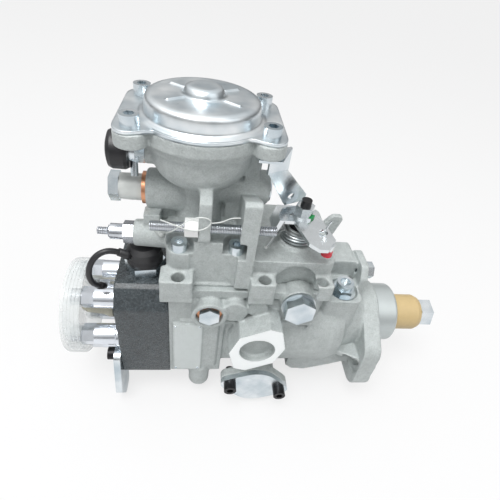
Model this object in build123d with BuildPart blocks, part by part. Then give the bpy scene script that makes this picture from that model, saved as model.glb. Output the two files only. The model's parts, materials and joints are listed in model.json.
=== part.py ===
from build123d import *
import os
from math import cos, pi, radians, sin

os.makedirs("parts", exist_ok=True)

# The frame: +X runs out of the drive end, +Z up through the boost compensator,
# and the origin is where the shaft axis meets the face of the mounting flange.
# All sizes are in millimetres.

# Running, sliding and assembly clearances
running_gap = 0.05
free_gap = 0.3
screw_gap = 0.1

# Mounting flange, pilot and drive shaft
flange_thick = 14.0
pilot_radius = 25.0
pilot_length = 19.0
flange_slot_radius = 42.0
flange_slot_width = 9.0
flange_slot_length = 16.0
spot_face_radius = 10.5
shaft_radius = 10.0
taper_end_radius = 7.6
shaft_thread_radius = 7.0
sleeve_length = 29.5
sleeve_radius = 15.5
nut_height = 11.0
nut_flats = 22.0
bush_wall = 2.5
bush_length = 30.0
seal_radius = 15.0
seal_length = 7.0

# Housing body
housing_length = 168.0
housing_half_width = 38.0
housing_bottom = 46.0
chamber_half_width = 33.0
joint_height = 60.0
ledge_thick = 7.0
drum_radius = 41.5
drum_start = -94.0
drum_end = -28.0
pump_bore_radius = 26.0
ring_bore_radius = 27.0
head_bore_radius = 30.0
cover_wall = 6.0

# Supply pump
pump_width = 14.0
pump_end = -40.0
pump_cavity_radius = 20.0
pump_offset = 2.0
rotor_radius = 17.8
vane_thick = 2.4
vane_count = 4

# Governor drive and flyweights
gear_module = 1.7
drive_teeth = 24
cage_teeth = 16
gear_width = 6.0
gear_end = -61.5
cage_radius = 18.0
cage_length = 24.0
governor_pin_radius = 4.0
weight_count = 4

# Cam drive and plunger
ring_width = 10.0
roller_radius = 5.5
roller_length = 8.0
cylinder_count = 6
cam_radius = 23.0
cam_thick = 6.0
lobe_height = 2.1
plunger_radius = 6.0
collar_radius = 12.0
collar_width = 11.0

# Timing device across the bottom of the housing
timing_x = -98.0
timing_z = -42.0
timing_bore_radius = 12.5
timing_half_length = 46.0
piston_half_length = 26.0
timing_cover_thick = 4.0
timing_screw_half_span = 21.5
timing_tilt = -12.0

# Distributor head, outlets and their transit cap
head_length = 37.0
barrel_radius = 11.0
outlet_circle = 29.0
holder_radius = 8.0
holder_length = 18.0
holder_flats = 14.0
holder_hex_length = 8.5
outlet_thread_radius = 6.0
outlet_thread_length = 9.0
holder_thread_radius = 7.0
holder_thread_length = 16.0
cap_radius = 37.0
cap_wall = 1.8
cap_depth = 13.5

# Governor cover and boost compensator
cover_left = -170.0
cover_right = -57.0
cover_step_x = -119.0
cover_high_top = 97.0
cover_low_top = 85.0
compensator_x = -150.0
bowl_radius = 26.0
bowl_cavity_radius = 22.5
bowl_bottom = 126.0
cast_flange_bottom = 154.0
cast_flange_top = 162.0
sheet_thick = 2.0
dome_radius = 32.0
dome_height = 10.5
button_radius = 11.0
button_height = 5.0
screw_half_span_x = 36.0
screw_half_span_y = 22.5
screw_seat_z = 88.0

# Cap screws, all M6
cap_head_radius = 5.0
cap_head_height = 6.0
cap_shank_radius = 3.0
cap_socket_flats = 5.0
cap_socket_depth = 3.0

# Throttle shaft and lever
throttle_x = -81.5
throttle_y = -8.7
throttle_radius = 4.0
lever_z = 104.0
lever_thick = 2.5
lever_tip_x = -75.0
lever_tip_y = -44.0
spring_wire = 1.9
spring_radius = 11.5
spring_turns = 4.0

# Worked out places
shaft_nose = pilot_length + sleeve_length
head_x = -housing_length
head_end = head_x - head_length
holder_end = head_end - holder_length
hex_end = holder_end - holder_hex_length
outlet_tip = hex_end - outlet_thread_length
governor_z = gear_module * (drive_teeth + cage_teeth) / 2
pump_start = pump_end - pump_width
gear_start = gear_end - gear_width
cage_start = gear_start - cage_length
ring_end = timing_x + ring_width / 2
ring_start = timing_x - ring_width / 2
roller_x = ring_start + 1.0
cam_face = roller_x - roller_radius - free_gap - lobe_height
cam_back = cam_face - cam_thick
collar_start = cam_back - 20.0
sheet_top = cast_flange_top + sheet_thick
dome_top = sheet_top + dome_height
lever_x = collar_start + collar_width / 2
lever_half_thick = 2.0
sleeve_nose = lever_x + lever_half_thick + free_gap
hex_ratio = 2 / 3 ** 0.5


def rod_x(radius, start, end, y=0.0, z=0.0, mode=Mode.ADD):
    with Locations(Location(((start + end) / 2, y, z), (0, 90, 0))):
        Cylinder(radius, end - start, mode=mode)


def rod_y(radius, start, end, x=0.0, z=0.0, mode=Mode.ADD):
    with Locations(Location((x, (start + end) / 2, z), (90, 0, 0))):
        Cylinder(radius, end - start, mode=mode)


def rod_z(radius, start, end, x=0.0, y=0.0, mode=Mode.ADD):
    with Locations((x, y, (start + end) / 2)):
        Cylinder(radius, end - start, mode=mode)


def block(x, y, z, mode=Mode.ADD):
    with Locations(((x[0] + x[1]) / 2, (y[0] + y[1]) / 2, (z[0] + z[1]) / 2)):
        Box(x[1] - x[0], y[1] - y[0], z[1] - z[0], mode=mode)


def turned_x(profile, y=0.0, z=0.0, mode=Mode.ADD, seam=0.0):
    """Turn a profile of (x, radius) points about an axis along X, its seam turned away from +Z."""
    facing = (0, -cos(radians(seam)), -sin(radians(seam)))
    with BuildSketch(Plane(origin=(0, y, z), x_dir=(1, 0, 0), z_dir=facing)) as outline:
        Polygon(*profile, align=None)
    revolve(outline.sketch, Axis((0, y, z), (1, 0, 0)), mode=mode)


def turned_z(profile, x=0.0, y=0.0, mode=Mode.ADD, seam=17.0):
    """Turn a profile of (radius, z) points about an axis along Z, its seam turned away from +X."""
    outwards = (cos(radians(seam)), sin(radians(seam)), 0)
    facing = (sin(radians(seam)), -cos(radians(seam)), 0)
    with BuildSketch(Plane(origin=(x, y, 0), x_dir=outwards, z_dir=facing)) as outline:
        Polygon(*profile, align=None)
    revolve(outline.sketch, Axis((x, y, 0), (0, 0, 1)), mode=mode)


def hexagon(plane, flats, height, turn=0.0, mode=Mode.ADD):
    with BuildSketch(plane) as outline:
        RegularPolygon(flats * hex_ratio / 2, 6, rotation=turn)
    extrude(outline.sketch, amount=height, mode=mode)


def facing_x(x, y=0.0, z=0.0, side=1):
    return Plane(origin=(x, y, z), x_dir=(0, 1, 0), z_dir=(side, 0, 0))


def facing_y(y, x=0.0, z=0.0, side=-1):
    return Plane(origin=(x, y, z), x_dir=(1, 0, 0), z_dir=(0, side, 0))


def facing_z(z, x=0.0, y=0.0):
    return Plane(origin=(x, y, z))


def cap_screw(shank_length, head_height=cap_head_height):
    """A socket-head cap screw, seated at its own origin with its head up."""
    with BuildPart() as screw:
        rod_z(cap_head_radius, 0, head_height)
        rod_z(cap_shank_radius, -shank_length, 0)
        hexagon(facing_z(head_height - cap_socket_depth), cap_socket_flats, cap_socket_depth, mode=Mode.SUBTRACT)
    return screw.part


def gear(teeth, width, bore):
    """A spur gear on its own Z axis, from z = 0 up."""
    pitch = gear_module * teeth / 2
    tooth_root = pitch - 1.25 * gear_module
    tooth_tip = pitch + 0.9 * gear_module
    half_root = 0.72 * gear_module
    half_tip = 0.32 * gear_module
    with BuildPart() as wheel:
        with BuildSketch():
            Circle(tooth_root)
            with PolarLocations(0, teeth):
                Polygon(
                    (tooth_root - 0.5, -half_root),
                    (tooth_tip, -half_tip),
                    (tooth_tip, half_tip),
                    (tooth_root - 0.5, half_root),
                    align=None,
                )
            Circle(bore, mode=Mode.SUBTRACT)
        extrude(amount=width)
    return wheel.part


def save(piece, name):
    piece.label = name
    export_step(piece, f"parts/{name}.step")


# Places of the cap screws: the compensator's four, then the governor cover's four
compensator_screws = [
    (compensator_x + side * screw_half_span_x, way * screw_half_span_y)
    for side in (-1, 1)
    for way in (-1, 1)
]
cover_screws_front = [(-161.5, -27.5), (-125.5, -27.5)]
cover_screws_rear = [(-161.5, 27.5), (-66.0, 27.5)]
cover_screws = cover_screws_front + cover_screws_rear

# Screws of the timing covers, in the plane of the cover: along its tilted long axis
timing_screws = [
    (
        timing_x + side * timing_screw_half_span * cos(radians(timing_tilt)),
        timing_z + side * timing_screw_half_span * sin(radians(timing_tilt)),
    )
    for side in (-1, 1)
]
outlet_places = [
    (outlet_circle * cos(radians(60 * step)), outlet_circle * sin(radians(60 * step)))
    for step in range(cylinder_count)
]

# Screws that hold the distributor head; the first also holds the support plate
head_screws = [(-32.0, -21.0), (32.0, -21.0), (-28.0, 38.0), (28.0, 38.0)]
plate_thick = 5.0

# Side plugs in the front wall: the recessed one and the large one
recessed_plug_x = -140.0
recessed_plug_z = 41.5
recessed_plug_flats = 13.5
recessed_boss_radius = 12.3
recessed_bore_radius = 9.2
recessed_face_y = -44.5
recessed_seat_y = -39.5
recessed_shank_radius = 5.0
large_plug_x = -79.0
large_plug_z = 52.0
large_plug_flats = 19.5
large_plug_height = 7.5
large_boss_radius = 12.4
large_plug_seat_y = -40.0
inlet_face_y = -57.0
inlet_face_x = -105.0
inlet_face_z = 20.0
inlet_recess_radius = 12.6
inlet_recess_depth = 6.0
valve_x = -38.0
valve_y = -17.0
valve_seat_z = 41.0
valve_bore_radius = 8.5
bolt_lug_z = 51.0
bolt_lug_y = -1.0
plate_pad_x = (-165.5, -143.8)
plate_pad_z = (-30.0, 28.0)
second_pad_x = (-146.0, -132.0)

# Pump housing
with BuildPart() as pump_housing:
    # the square end that takes the distributor head
    with BuildSketch(Plane.YZ.offset(head_x)):
        with BuildLine():
            FilletPolyline(
                (-housing_half_width, joint_height - ledge_thick),
                (-housing_half_width, -34),
                (-31, -housing_bottom),
                (31, -housing_bottom),
                (housing_half_width, -34),
                (housing_half_width, joint_height - ledge_thick),
                radius=6,
                close=True,
            )
        make_face()
    extrude(amount=40)
    # the body between it and the drum
    with BuildSketch(Plane.YZ.offset(head_x + 36)):
        with BuildLine():
            FilletPolyline(
                (-36, joint_height - ledge_thick),
                (-36, -22),
                (-20, -38),
                (20, -38),
                (36, -22),
                (36, joint_height - ledge_thick),
                radius=8,
                close=True,
            )
        make_face()
    extrude(amount=60)
    # the round drum over the supply pump and its taper to the flange
    turned_x(
        [
            (drum_start - 8, 0),
            (drum_start - 8, drum_radius - 10),
            (drum_start, drum_radius - 3),
            (drum_start + 8, drum_radius),
            (drum_end - 14, drum_radius),
            (drum_end - 5, drum_radius - 3),
            (drum_end, drum_radius - 10),
            (-flange_thick, drum_radius - 13),
            (-flange_thick, 0),
        ],
        seam=63,
    )
    # the governor chamber's upper walls and the joint ledge
    with BuildSketch(Plane.XY.offset(18)):
        with Locations((-112, 0)):
            RectangleRounded(112, 2 * chamber_half_width, 8)
    extrude(amount=joint_height - 18)
    with BuildSketch(Plane.XY.offset(joint_height - ledge_thick)):
        with Locations((-110, 0)):
            RectangleRounded(116, 2 * housing_half_width - 2, 9)
    extrude(amount=ledge_thick)
    # the mounting flange with its two lower lobes
    with BuildSketch(Plane.YZ.offset(-flange_thick)):
        with Locations((-35, -6), (-36.5, -34), (35, -6), (36.5, -34)):
            Circle(12.5)
        Circle(28)
        make_hull()
    extrude(amount=flange_thick)
    rod_x(pilot_radius, 0, pilot_length)
    chamfer(edges().filter_by(GeomType.CIRCLE).sort_by(Axis.X)[-1], 1.5)
    # the lower body under the drum
    with BuildSketch(Plane.XZ.offset(-28)):
        Polygon((-68, -20), (-68, -44), (-62, -49), (-50, -50), (-30, -43), (-14, -36), (-14, -20), align=None)
    extrude(amount=56)
    # stiffening ribs between the drum and the flange lobes
    for side in (-1, 1):
        with BuildSketch(Plane.XY.offset(-16)):
            Polygon((-34, side * 26), (-34, side * 34), (-12, side * 44), (-12, side * 26), align=None)
        extrude(amount=5)
    # the timing device's cross tube and its end flanges
    rod_y(timing_bore_radius + 5, -timing_half_length, timing_half_length, timing_x, timing_z)
    for side in (-1, 1):
        with BuildSketch(facing_y(side * (timing_half_length - 7), timing_x, timing_z, side)):
            with Locations(Rotation(0, 0, -side * timing_tilt)):
                with Locations((-timing_screw_half_span, 0), (timing_screw_half_span, 0)):
                    Circle(7.5)
            Circle(timing_bore_radius + 7)
            make_hull()
        extrude(amount=7)
    # the front inlet flange, a machined face with a blind recess
    with BuildSketch(facing_y(inlet_face_y, inlet_face_x, inlet_face_z)):
        Polygon(
            (-20, -3), (-14, 15), (6, 25), (15, 22), (20, 3), (14, -15), (-6, -25), (-15, -22), align=None
        )
    extrude(amount=-22)
    rod_y(inlet_recess_radius, inlet_face_y, inlet_face_y + inlet_recess_depth, inlet_face_x, inlet_face_z, Mode.SUBTRACT)
    # bosses of the side plugs and the blind cast bosses
    rod_y(recessed_boss_radius, recessed_face_y, -20, recessed_plug_x, recessed_plug_z)
    rod_y(large_boss_radius, large_plug_seat_y, -28, large_plug_x, large_plug_z)
    rod_y(9.3, -43.0, -24, -123, 44.6)
    rod_y(7.2, -41.6, -24, -107.0, 47.3)
    # the bare raised pads for a plate
    with BuildSketch(facing_y(-housing_half_width, (plate_pad_x[0] + plate_pad_x[1]) / 2, -1)):
        RectangleRounded(plate_pad_x[1] - plate_pad_x[0], plate_pad_z[1] - plate_pad_z[0], 2.5)
    extrude(amount=3)
    with BuildSketch(facing_y(-housing_half_width, (second_pad_x[0] + second_pad_x[1]) / 2, -1)):
        RectangleRounded(second_pad_x[1] - second_pad_x[0], plate_pad_z[1] - plate_pad_z[0] - 3, 2.5)
    extrude(amount=1.8)
    # a drain boss under the front edge
    rod_z(8.5, -53, -30, -144.5, -33)
    # boss of the pressure valve, the step block and the bolt lug by the flange
    with BuildSketch(Plane.XY.offset(15)):
        with Locations((valve_x - 2, valve_y)):
            RectangleRounded(30, 27, 6)
    extrude(amount=valve_seat_z + 4 - 15)
    with BuildSketch(Plane.XZ.offset(-22)):
        Polygon((-57, 20), (-57, 60), (-28, 60), (-25, 57), (-25, 20), align=None)
    extrude(amount=24)
    with BuildSketch(Plane.YZ.offset(-25)):
        with BuildLine():
            FilletPolyline((-14, 20), (-14, 52), (-8, 61), (12, 61), (16, 52), (16, 20), radius=3, close=True)
        make_face()
    extrude(amount=6)
    # cast ribs on the front wall
    for rib_x in (-158, -130, -114, -66):
        with BuildSketch(Plane.YZ.offset(rib_x)):
            Polygon((-30, 30), (-39.5, 30), (-36, 14), (-30, 10), align=None)
        extrude(amount=2.5)
    block((-160, -64), (-39.5, -30), (28, 31))
    # inner bores, from the head end towards the drive end
    rod_x(head_bore_radius, head_x, -114, mode=Mode.SUBTRACT)
    rod_x(ring_bore_radius, -114, pump_start - 4, mode=Mode.SUBTRACT)
    rod_x(pump_bore_radius, pump_start - 4, pump_end, mode=Mode.SUBTRACT)
    rod_x(shaft_radius + bush_wall, pump_end, pilot_length, mode=Mode.SUBTRACT)
    rod_x(seal_radius, pilot_length - 10, pilot_length, mode=Mode.SUBTRACT)
    # the governor chamber above them
    with BuildSketch(Plane.XY.offset(10)):
        with Locations((-110, 0)):
            RectangleRounded(100, 2 * (chamber_half_width - cover_wall), 6)
    extrude(amount=joint_height - 10, mode=Mode.SUBTRACT)
    rod_x(governor_pin_radius, -62, -52, 0, governor_z, Mode.SUBTRACT)
    # timing bore, the slot for the roller ring's pin and the screw holes
    rod_y(timing_bore_radius, -timing_half_length, timing_half_length, timing_x, timing_z, Mode.SUBTRACT)
    block((timing_x - 5, timing_x + 5), (-11, 11), (timing_z, -20), Mode.SUBTRACT)
    for hole_x, hole_z in timing_screws:
        for side in (-1, 1):
            far = side * timing_half_length
            near = side * (timing_half_length - 13)
            rod_y(cap_shank_radius + screw_gap, min(near, far), max(near, far), hole_x, hole_z, Mode.SUBTRACT)
    for hole_x, hole_y in cover_screws:
        rod_z(cap_shank_radius + screw_gap, joint_height - 15, joint_height, hole_x, hole_y, Mode.SUBTRACT)
    # plug bores
    rod_y(recessed_bore_radius, recessed_face_y, recessed_seat_y, recessed_plug_x, recessed_plug_z, Mode.SUBTRACT)
    rod_y(recessed_shank_radius + screw_gap, recessed_seat_y, -20, recessed_plug_x, recessed_plug_z, Mode.SUBTRACT)
    rod_y(9 + screw_gap, large_plug_seat_y, -20, large_plug_x, large_plug_z, Mode.SUBTRACT)
    rod_z(valve_bore_radius + 3, valve_seat_z, valve_seat_z + 4, valve_x, valve_y, Mode.SUBTRACT)
    rod_z(valve_bore_radius + screw_gap, 22, valve_seat_z, valve_x, valve_y, Mode.SUBTRACT)
    rod_x(3 + screw_gap, -25, -19, bolt_lug_y, bolt_lug_z, Mode.SUBTRACT)
    # slots and spot faces of the flange lobes
    for side in (-1, 1):
        lobe_y = side * flange_slot_radius * cos(radians(32))
        lobe_z = -flange_slot_radius * sin(radians(32))
        with BuildSketch(Plane(origin=(-flange_thick, lobe_y, lobe_z), x_dir=(0, 1, 0), z_dir=(1, 0, 0))):
            SlotOverall(flange_slot_length, flange_slot_width, rotation=side * 58)
        extrude(amount=flange_thick, mode=Mode.SUBTRACT)
        rod_x(spot_face_radius, -flange_thick - 12, -flange_thick + 2, lobe_y, lobe_z, Mode.SUBTRACT)
    # screw holes of the distributor head
    for way_y, way_z in head_screws:
        rod_x(cap_shank_radius + screw_gap, head_x, head_x + 16, way_y, way_z, Mode.SUBTRACT)
save(pump_housing.part, "pump_housing")

# Shaft bush, pressed into the housing
with BuildPart() as shaft_bush:
    rod_x(shaft_radius + bush_wall, -34, -34 + bush_length)
    rod_x(shaft_radius + running_gap, -34, -34 + bush_length, mode=Mode.SUBTRACT)
save(shaft_bush.part, "shaft_bush")

# Shaft seal in the pilot's nose
with BuildPart() as shaft_seal:
    turned_x(
        [
            (pilot_length - 9, shaft_radius + running_gap),
            (pilot_length - 9, seal_radius),
            (pilot_length - 2, seal_radius),
            (pilot_length - 2, shaft_radius + 2),
            (pilot_length - 5, shaft_radius + 2),
            (pilot_length - 5, shaft_radius + running_gap),
        ]
    )
save(shaft_seal.part, "shaft_seal")

# Drive shaft: claws, collar, journal, keyed taper and thread
claw_end = ring_end + 6
claw_start = cam_face + 4
with BuildPart() as drive_shaft:
    turned_x(
        [
            (claw_end - 4, 0),
            (claw_end - 4, 14),
            (claw_end, 14),
            (claw_end, shaft_radius),
            (pilot_length + 2, shaft_radius),
            (shaft_nose - 1, taper_end_radius),
            (shaft_nose - 1, shaft_thread_radius),
            (shaft_nose + nut_height + 1, shaft_thread_radius),
            (shaft_nose + nut_height + 2, shaft_thread_radius - 1),
            (shaft_nose + nut_height + 2, 0),
        ]
    )
    for side in (-1, 1):
        block((claw_start, claw_end - 4), (min(side * 4, side * 13), max(side * 4, side * 13)), (-4, 4))
    block((pilot_length + 6, pilot_length + 18), (-2, 2), (5.5, 12), Mode.SUBTRACT)
save(drive_shaft.part, "drive_shaft")

# Woodruff key in the taper
with BuildPart() as shaft_key:
    with BuildSketch(Plane.XZ.offset(-2)):
        with Locations((pilot_length + 12, 11)):
            Circle(5.4)
        with Locations((pilot_length + 12, 16)):
            Rectangle(14, 8, mode=Mode.SUBTRACT)
    extrude(amount=4)
save(shaft_key.part, "shaft_key")

# Transit sleeve over the taper
with BuildPart() as shipping_sleeve:
    turned_x(
        [
            (pilot_length + free_gap, 12.5),
            (pilot_length + free_gap, sleeve_radius),
            (shaft_nose - 5, sleeve_radius),
            (shaft_nose - 1.5, sleeve_radius - 1.5),
            (shaft_nose, sleeve_radius - 5),
            (shaft_nose, shaft_thread_radius + screw_gap),
            (shaft_nose - 1, shaft_thread_radius + screw_gap),
            (shaft_nose - 1, 12.5),
        ]
    )
save(shipping_sleeve.part, "shipping_sleeve")

# Shaft nut
with BuildPart() as shaft_nut:
    hexagon(facing_x(shaft_nose), nut_flats, nut_height, 12)
    rod_x(shaft_thread_radius + screw_gap, shaft_nose, shaft_nose + nut_height, mode=Mode.SUBTRACT)
save(shaft_nut.part, "shaft_nut")

# Supply pump: eccentric ring, rotor and vanes
with BuildPart() as supply_pump_ring:
    rod_x(pump_bore_radius, pump_start, pump_end)
    rod_x(pump_cavity_radius, pump_start, pump_end, pump_offset, mode=Mode.SUBTRACT)
    rod_x(pump_bore_radius, pump_start - 3.5, pump_start)
    rod_x(shaft_radius + 1, pump_start - 3.5, pump_start, mode=Mode.SUBTRACT)
save(supply_pump_ring.part, "supply_pump_ring")

with BuildPart() as supply_pump_rotor:
    rod_x(rotor_radius, pump_start + 0.2, pump_end - 0.2)
    rod_x(shaft_radius, pump_start + 0.2, pump_end - 0.2, mode=Mode.SUBTRACT)
    with BuildSketch(Plane.YZ.offset(pump_start)):
        with PolarLocations(15.4, vane_count):
            Rectangle(5.2, vane_thick + 0.1)
    extrude(amount=pump_width, mode=Mode.SUBTRACT)
save(supply_pump_rotor.part, "supply_pump_rotor")

with BuildPart() as pump_vanes:
    with BuildSketch(Plane.YZ.offset(pump_start + 0.2)):
        with PolarLocations(15.4, vane_count):
            Rectangle(5.0, vane_thick)
    extrude(amount=pump_width - 0.4)
save(pump_vanes.part, "pump_vanes")

# Governor drive gear on the shaft
with BuildPart() as drive_gear:
    with Locations(Location((gear_start, 0, 0), (0, 90, 0))):
        add(gear(drive_teeth, gear_width, shaft_radius))
save(drive_gear.part, "drive_gear")

# Governor pin, cage, flyweights and sleeve
with BuildPart() as governor_pin:
    rod_x(governor_pin_radius, cage_start - 14, -52, 0, governor_z)
save(governor_pin.part, "governor_pin")

half_tooth = 180 / cage_teeth
with BuildPart() as governor_cage:
    with Locations(Location((gear_start, 0, governor_z), (0, 90, 0))):
        with Locations(Rotation(0, 0, half_tooth)):
            add(gear(cage_teeth, gear_width, governor_pin_radius + running_gap))
    rod_x(cage_radius, cage_start, gear_start - free_gap, 0, governor_z)
    rod_x(11, gear_start - free_gap, gear_start, 0, governor_z)
    rod_x(cage_radius - 2, cage_start, gear_start - 4, 0, governor_z, Mode.SUBTRACT)
    rod_x(governor_pin_radius + running_gap, cage_start, gear_end, 0, governor_z, Mode.SUBTRACT)
    with BuildSketch(Plane.YZ.offset(cage_start)):
        with Locations((0, governor_z)):
            with PolarLocations(cage_radius, weight_count):
                Rectangle(12, 13)
    extrude(amount=cage_length - 5, mode=Mode.SUBTRACT)
save(governor_cage.part, "governor_cage")

with BuildPart() as flyweights:
    with BuildSketch(Plane.YZ.offset(cage_start + 1)):
        with Locations((0, governor_z)):
            with PolarLocations(12.6, weight_count):
                RectangleRounded(6.6, 11, 1.5)
    extrude(amount=cage_length - 6.4)
save(flyweights.part, "flyweights")

with BuildPart() as governor_sleeve:
    turned_x([(sleeve_nose, 0), (sleeve_nose, 0.8), (sleeve_nose + 5, 6.5), (cage_start + 1, 6.5),
              (cage_start + 1, 7), (cage_start + 4, 7), (cage_start + 4, 0)], 0, governor_z)
    rod_x(governor_pin_radius + running_gap, cage_start - 19, cage_start + 4, 0, governor_z, Mode.SUBTRACT)
save(governor_sleeve.part, "governor_sleeve")

# Roller ring, its rollers and its timing pin
roller_angles = [60 * step for step in range(cylinder_count)]
with BuildPart() as roller_ring:
    rod_x(ring_bore_radius - running_gap, ring_start, ring_end)
    rod_x(15, ring_start, ring_end, mode=Mode.SUBTRACT)
    for angle in roller_angles:
        with BuildSketch(Plane.YZ.offset(ring_start)):
            with Locations(Rotation(0, 0, angle)):
                with Locations((20.5, 0)):
                    Rectangle(roller_length + 0.6, 2 * roller_radius + 0.6)
        extrude(amount=roller_radius + 1.3, mode=Mode.SUBTRACT)
    rod_z(3.5, timing_z - 4, -ring_bore_radius + 3, timing_x)
save(roller_ring.part, "roller_ring")

with BuildPart() as rollers:
    for angle in roller_angles:
        middle_y = 20.5 * cos(radians(angle))
        middle_z = 20.5 * sin(radians(angle))
        with Locations(Location((roller_x, middle_y, middle_z), (angle, 0, 0))):
            with Locations(Rotation(90, 0, 0)):
                Cylinder(roller_radius, roller_length)
save(rollers.part, "rollers")

# Cam plate with its face lobes, driving claws and foot
with BuildPart() as cam_plate:
    rod_x(cam_radius, cam_back, cam_face)
    for angle in roller_angles:
        with BuildSketch(Plane.YZ.offset(cam_face)):
            with Locations(Rotation(0, 0, angle)):
                with Locations((20, 0)):
                    Rectangle(5.6, 9)
        extrude(amount=lobe_height, taper=35)
    for side in (-1, 1):
        block((cam_face, claw_end - 4.5), (-3.7, 3.7), (min(side * 4.4, side * 13), max(side * 4.4, side * 13)))
save(cam_plate.part, "cam_plate")

# Distributor plunger
with BuildPart() as plunger:
    rod_x(plunger_radius, head_end + 12, cam_back)
    rod_x(9, cam_back - 2.5, cam_back)
    rod_x(1.5, head_end + 12, head_end + 40, mode=Mode.SUBTRACT)
    rod_z(1.2, -7, 7, collar_start + collar_width / 2, mode=Mode.SUBTRACT)
save(plunger.part, "plunger")

# Control collar on the plunger
with BuildPart() as control_collar:
    rod_x(collar_radius, collar_start, collar_start + collar_width)
    rod_x(plunger_radius + running_gap, collar_start, collar_start + collar_width, mode=Mode.SUBTRACT)
    rod_z(3, collar_radius - 3.5, collar_radius + 1, collar_start + collar_width / 2, mode=Mode.SUBTRACT)
save(control_collar.part, "control_collar")

# Governor lever, from the sleeve's nose down to the collar
lever_pivot_z = 24.0
with BuildPart() as governor_lever:
    with BuildSketch(Plane.YZ.offset(lever_x - lever_half_thick)):
        with BuildLine():
            FilletPolyline(
                (-3, 16), (-7, 24), (-7, 44), (7, 44), (7, 24), (3, 16), radius=1.5, close=True
            )
        make_face()
    extrude(amount=2 * lever_half_thick)
    rod_z(1.6, collar_radius - 2.5, 17, lever_x)
    rod_y(2.5, -chamber_half_width + cover_wall + free_gap, chamber_half_width - cover_wall - free_gap,
          lever_x, lever_pivot_z)
save(governor_lever.part, "governor_lever")

# Timing piston and its spring
with BuildPart() as timing_piston:
    rod_y(timing_bore_radius - running_gap, -piston_half_length, piston_half_length, timing_x, timing_z)
    rod_y(8, piston_half_length - 12, piston_half_length, timing_x, timing_z, Mode.SUBTRACT)
    block((timing_x - 4, timing_x + 4), (-5.5, 5.5), (timing_z - 5, timing_z + 14), Mode.SUBTRACT)
save(timing_piston.part, "timing_piston")

with BuildPart() as timing_spring:
    with BuildLine():
        Helix(5.6, timing_half_length - piston_half_length + 3, 6.5)
    with BuildSketch(Plane(origin=(6.5, 0, 0), z_dir=(0, 1, 0))):
        RegularPolygon(1.0, 8)
    sweep()
spring_place = Location((timing_x, piston_half_length - 4.5, timing_z), (-90, 0, 0))
save(timing_spring.part.moved(spring_place), "timing_spring")

# Timing covers, front and rear
with BuildPart() as timing_covers:
    for side in (-1, 1):
        with BuildSketch(facing_y(side * timing_half_length, timing_x, timing_z, side)):
            with Locations(Rotation(0, 0, -side * timing_tilt)):
                with Locations((-timing_screw_half_span, 0), (timing_screw_half_span, 0)):
                    Circle(7.5)
            Circle(timing_bore_radius + 7)
            make_hull()
        extrude(amount=timing_cover_thick)
        for hole_x, hole_z in timing_screws:
            near = side * timing_half_length
            far = side * (timing_half_length + timing_cover_thick)
            rod_y(cap_shank_radius + screw_gap, min(near, far), max(near, far), hole_x, hole_z, Mode.SUBTRACT)
save(timing_covers.part, "timing_covers")

# Distributor head
head_top = 62.0
solenoid_x = -186.0
solenoid_y = -10.0
with BuildPart() as distributor_head:
    with BuildSketch(Plane.YZ.offset(head_end)):
        with BuildLine():
            FilletPolyline(
                (-38, -36), (-32, -45), (32, -45), (38, -36), (38, 38), (28, 50), (22, head_top - 8),
                (-26, head_top - 8), (-30, 52), (-38, 38), radius=3, close=True
            )
        make_face()
    extrude(amount=head_length)
    rod_z(14, 40, head_top - 12, solenoid_x, solenoid_y)
    turned_x([(head_x, 20), (head_x, head_bore_radius - screw_gap), (head_x + 8, head_bore_radius - screw_gap),
              (head_x + 10, head_bore_radius - 2), (head_x + 10, 20)])
    rod_x(barrel_radius + 5, head_x, head_x + 12)
    rod_x(barrel_radius, head_end, head_x + 12, mode=Mode.SUBTRACT)
    for place_y, place_z in outlet_places:
        rod_x(holder_thread_radius + screw_gap, head_end, head_end + holder_thread_length + 1,
              place_y, place_z, Mode.SUBTRACT)
    rod_z(9 + screw_gap, 26, head_top, solenoid_x, solenoid_y, Mode.SUBTRACT)
    for way_y, way_z in head_screws:
        rod_x(cap_shank_radius + screw_gap, head_end, head_x, way_y, way_z, Mode.SUBTRACT)
        rod_x(cap_head_radius + 0.4, head_end, head_end + 6, way_y, way_z, Mode.SUBTRACT)
save(distributor_head.part, "distributor_head")

# Barrel that the plunger runs in, and the plug that closes it
with BuildPart() as head_barrel:
    rod_x(barrel_radius, head_end + 5, head_x + 12)
    rod_x(plunger_radius + running_gap, head_end + 5, head_x + 12, mode=Mode.SUBTRACT)
save(head_barrel.part, "head_barrel")

with BuildPart() as head_plug:
    hexagon(facing_x(head_end, side=-1), 17, 7)
    turned_x([(head_end - 12, 0), (head_end - 12, 6), (head_end - 7, 8), (head_end - 7, 0)])
    rod_x(barrel_radius - screw_gap, head_end, head_end + 4)
save(head_plug.part, "head_plug")

# Delivery valve holders and the valves inside them
with BuildPart() as delivery_valve_holders:
    for place_y, place_z in outlet_places:
        turned_x(
            [
                (head_end + holder_thread_length, 0),
                (head_end + holder_thread_length, holder_thread_radius),
                (head_end, holder_thread_radius),
                (head_end, holder_radius + 1),
                (head_end - 2, holder_radius + 1),
                (head_end - 3, holder_radius),
                (holder_end, holder_radius),
                (holder_end, outlet_thread_radius - 1),
                (hex_end - 1.5, outlet_thread_radius - 1),
                (hex_end - 2, outlet_thread_radius),
                (outlet_tip + 1, outlet_thread_radius),
                (outlet_tip, outlet_thread_radius - 1),
                (outlet_tip, 0),
            ],
            place_y,
            place_z,
        )
        hexagon(facing_x(holder_end, place_y, place_z, -1), holder_flats, holder_hex_length, 10)
        turned_x([(outlet_tip, 0), (outlet_tip, 3.6), (outlet_tip + 3.5, 1.5), (outlet_tip + 3.5, 0)],
                 place_y, place_z, Mode.SUBTRACT)
        rod_x(1.5, outlet_tip, holder_end + 2, place_y, place_z, Mode.SUBTRACT)
        rod_x(4.0, holder_end + 2, head_end + holder_thread_length, place_y, place_z, Mode.SUBTRACT)
save(delivery_valve_holders.part, "delivery_valve_holders")

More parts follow.
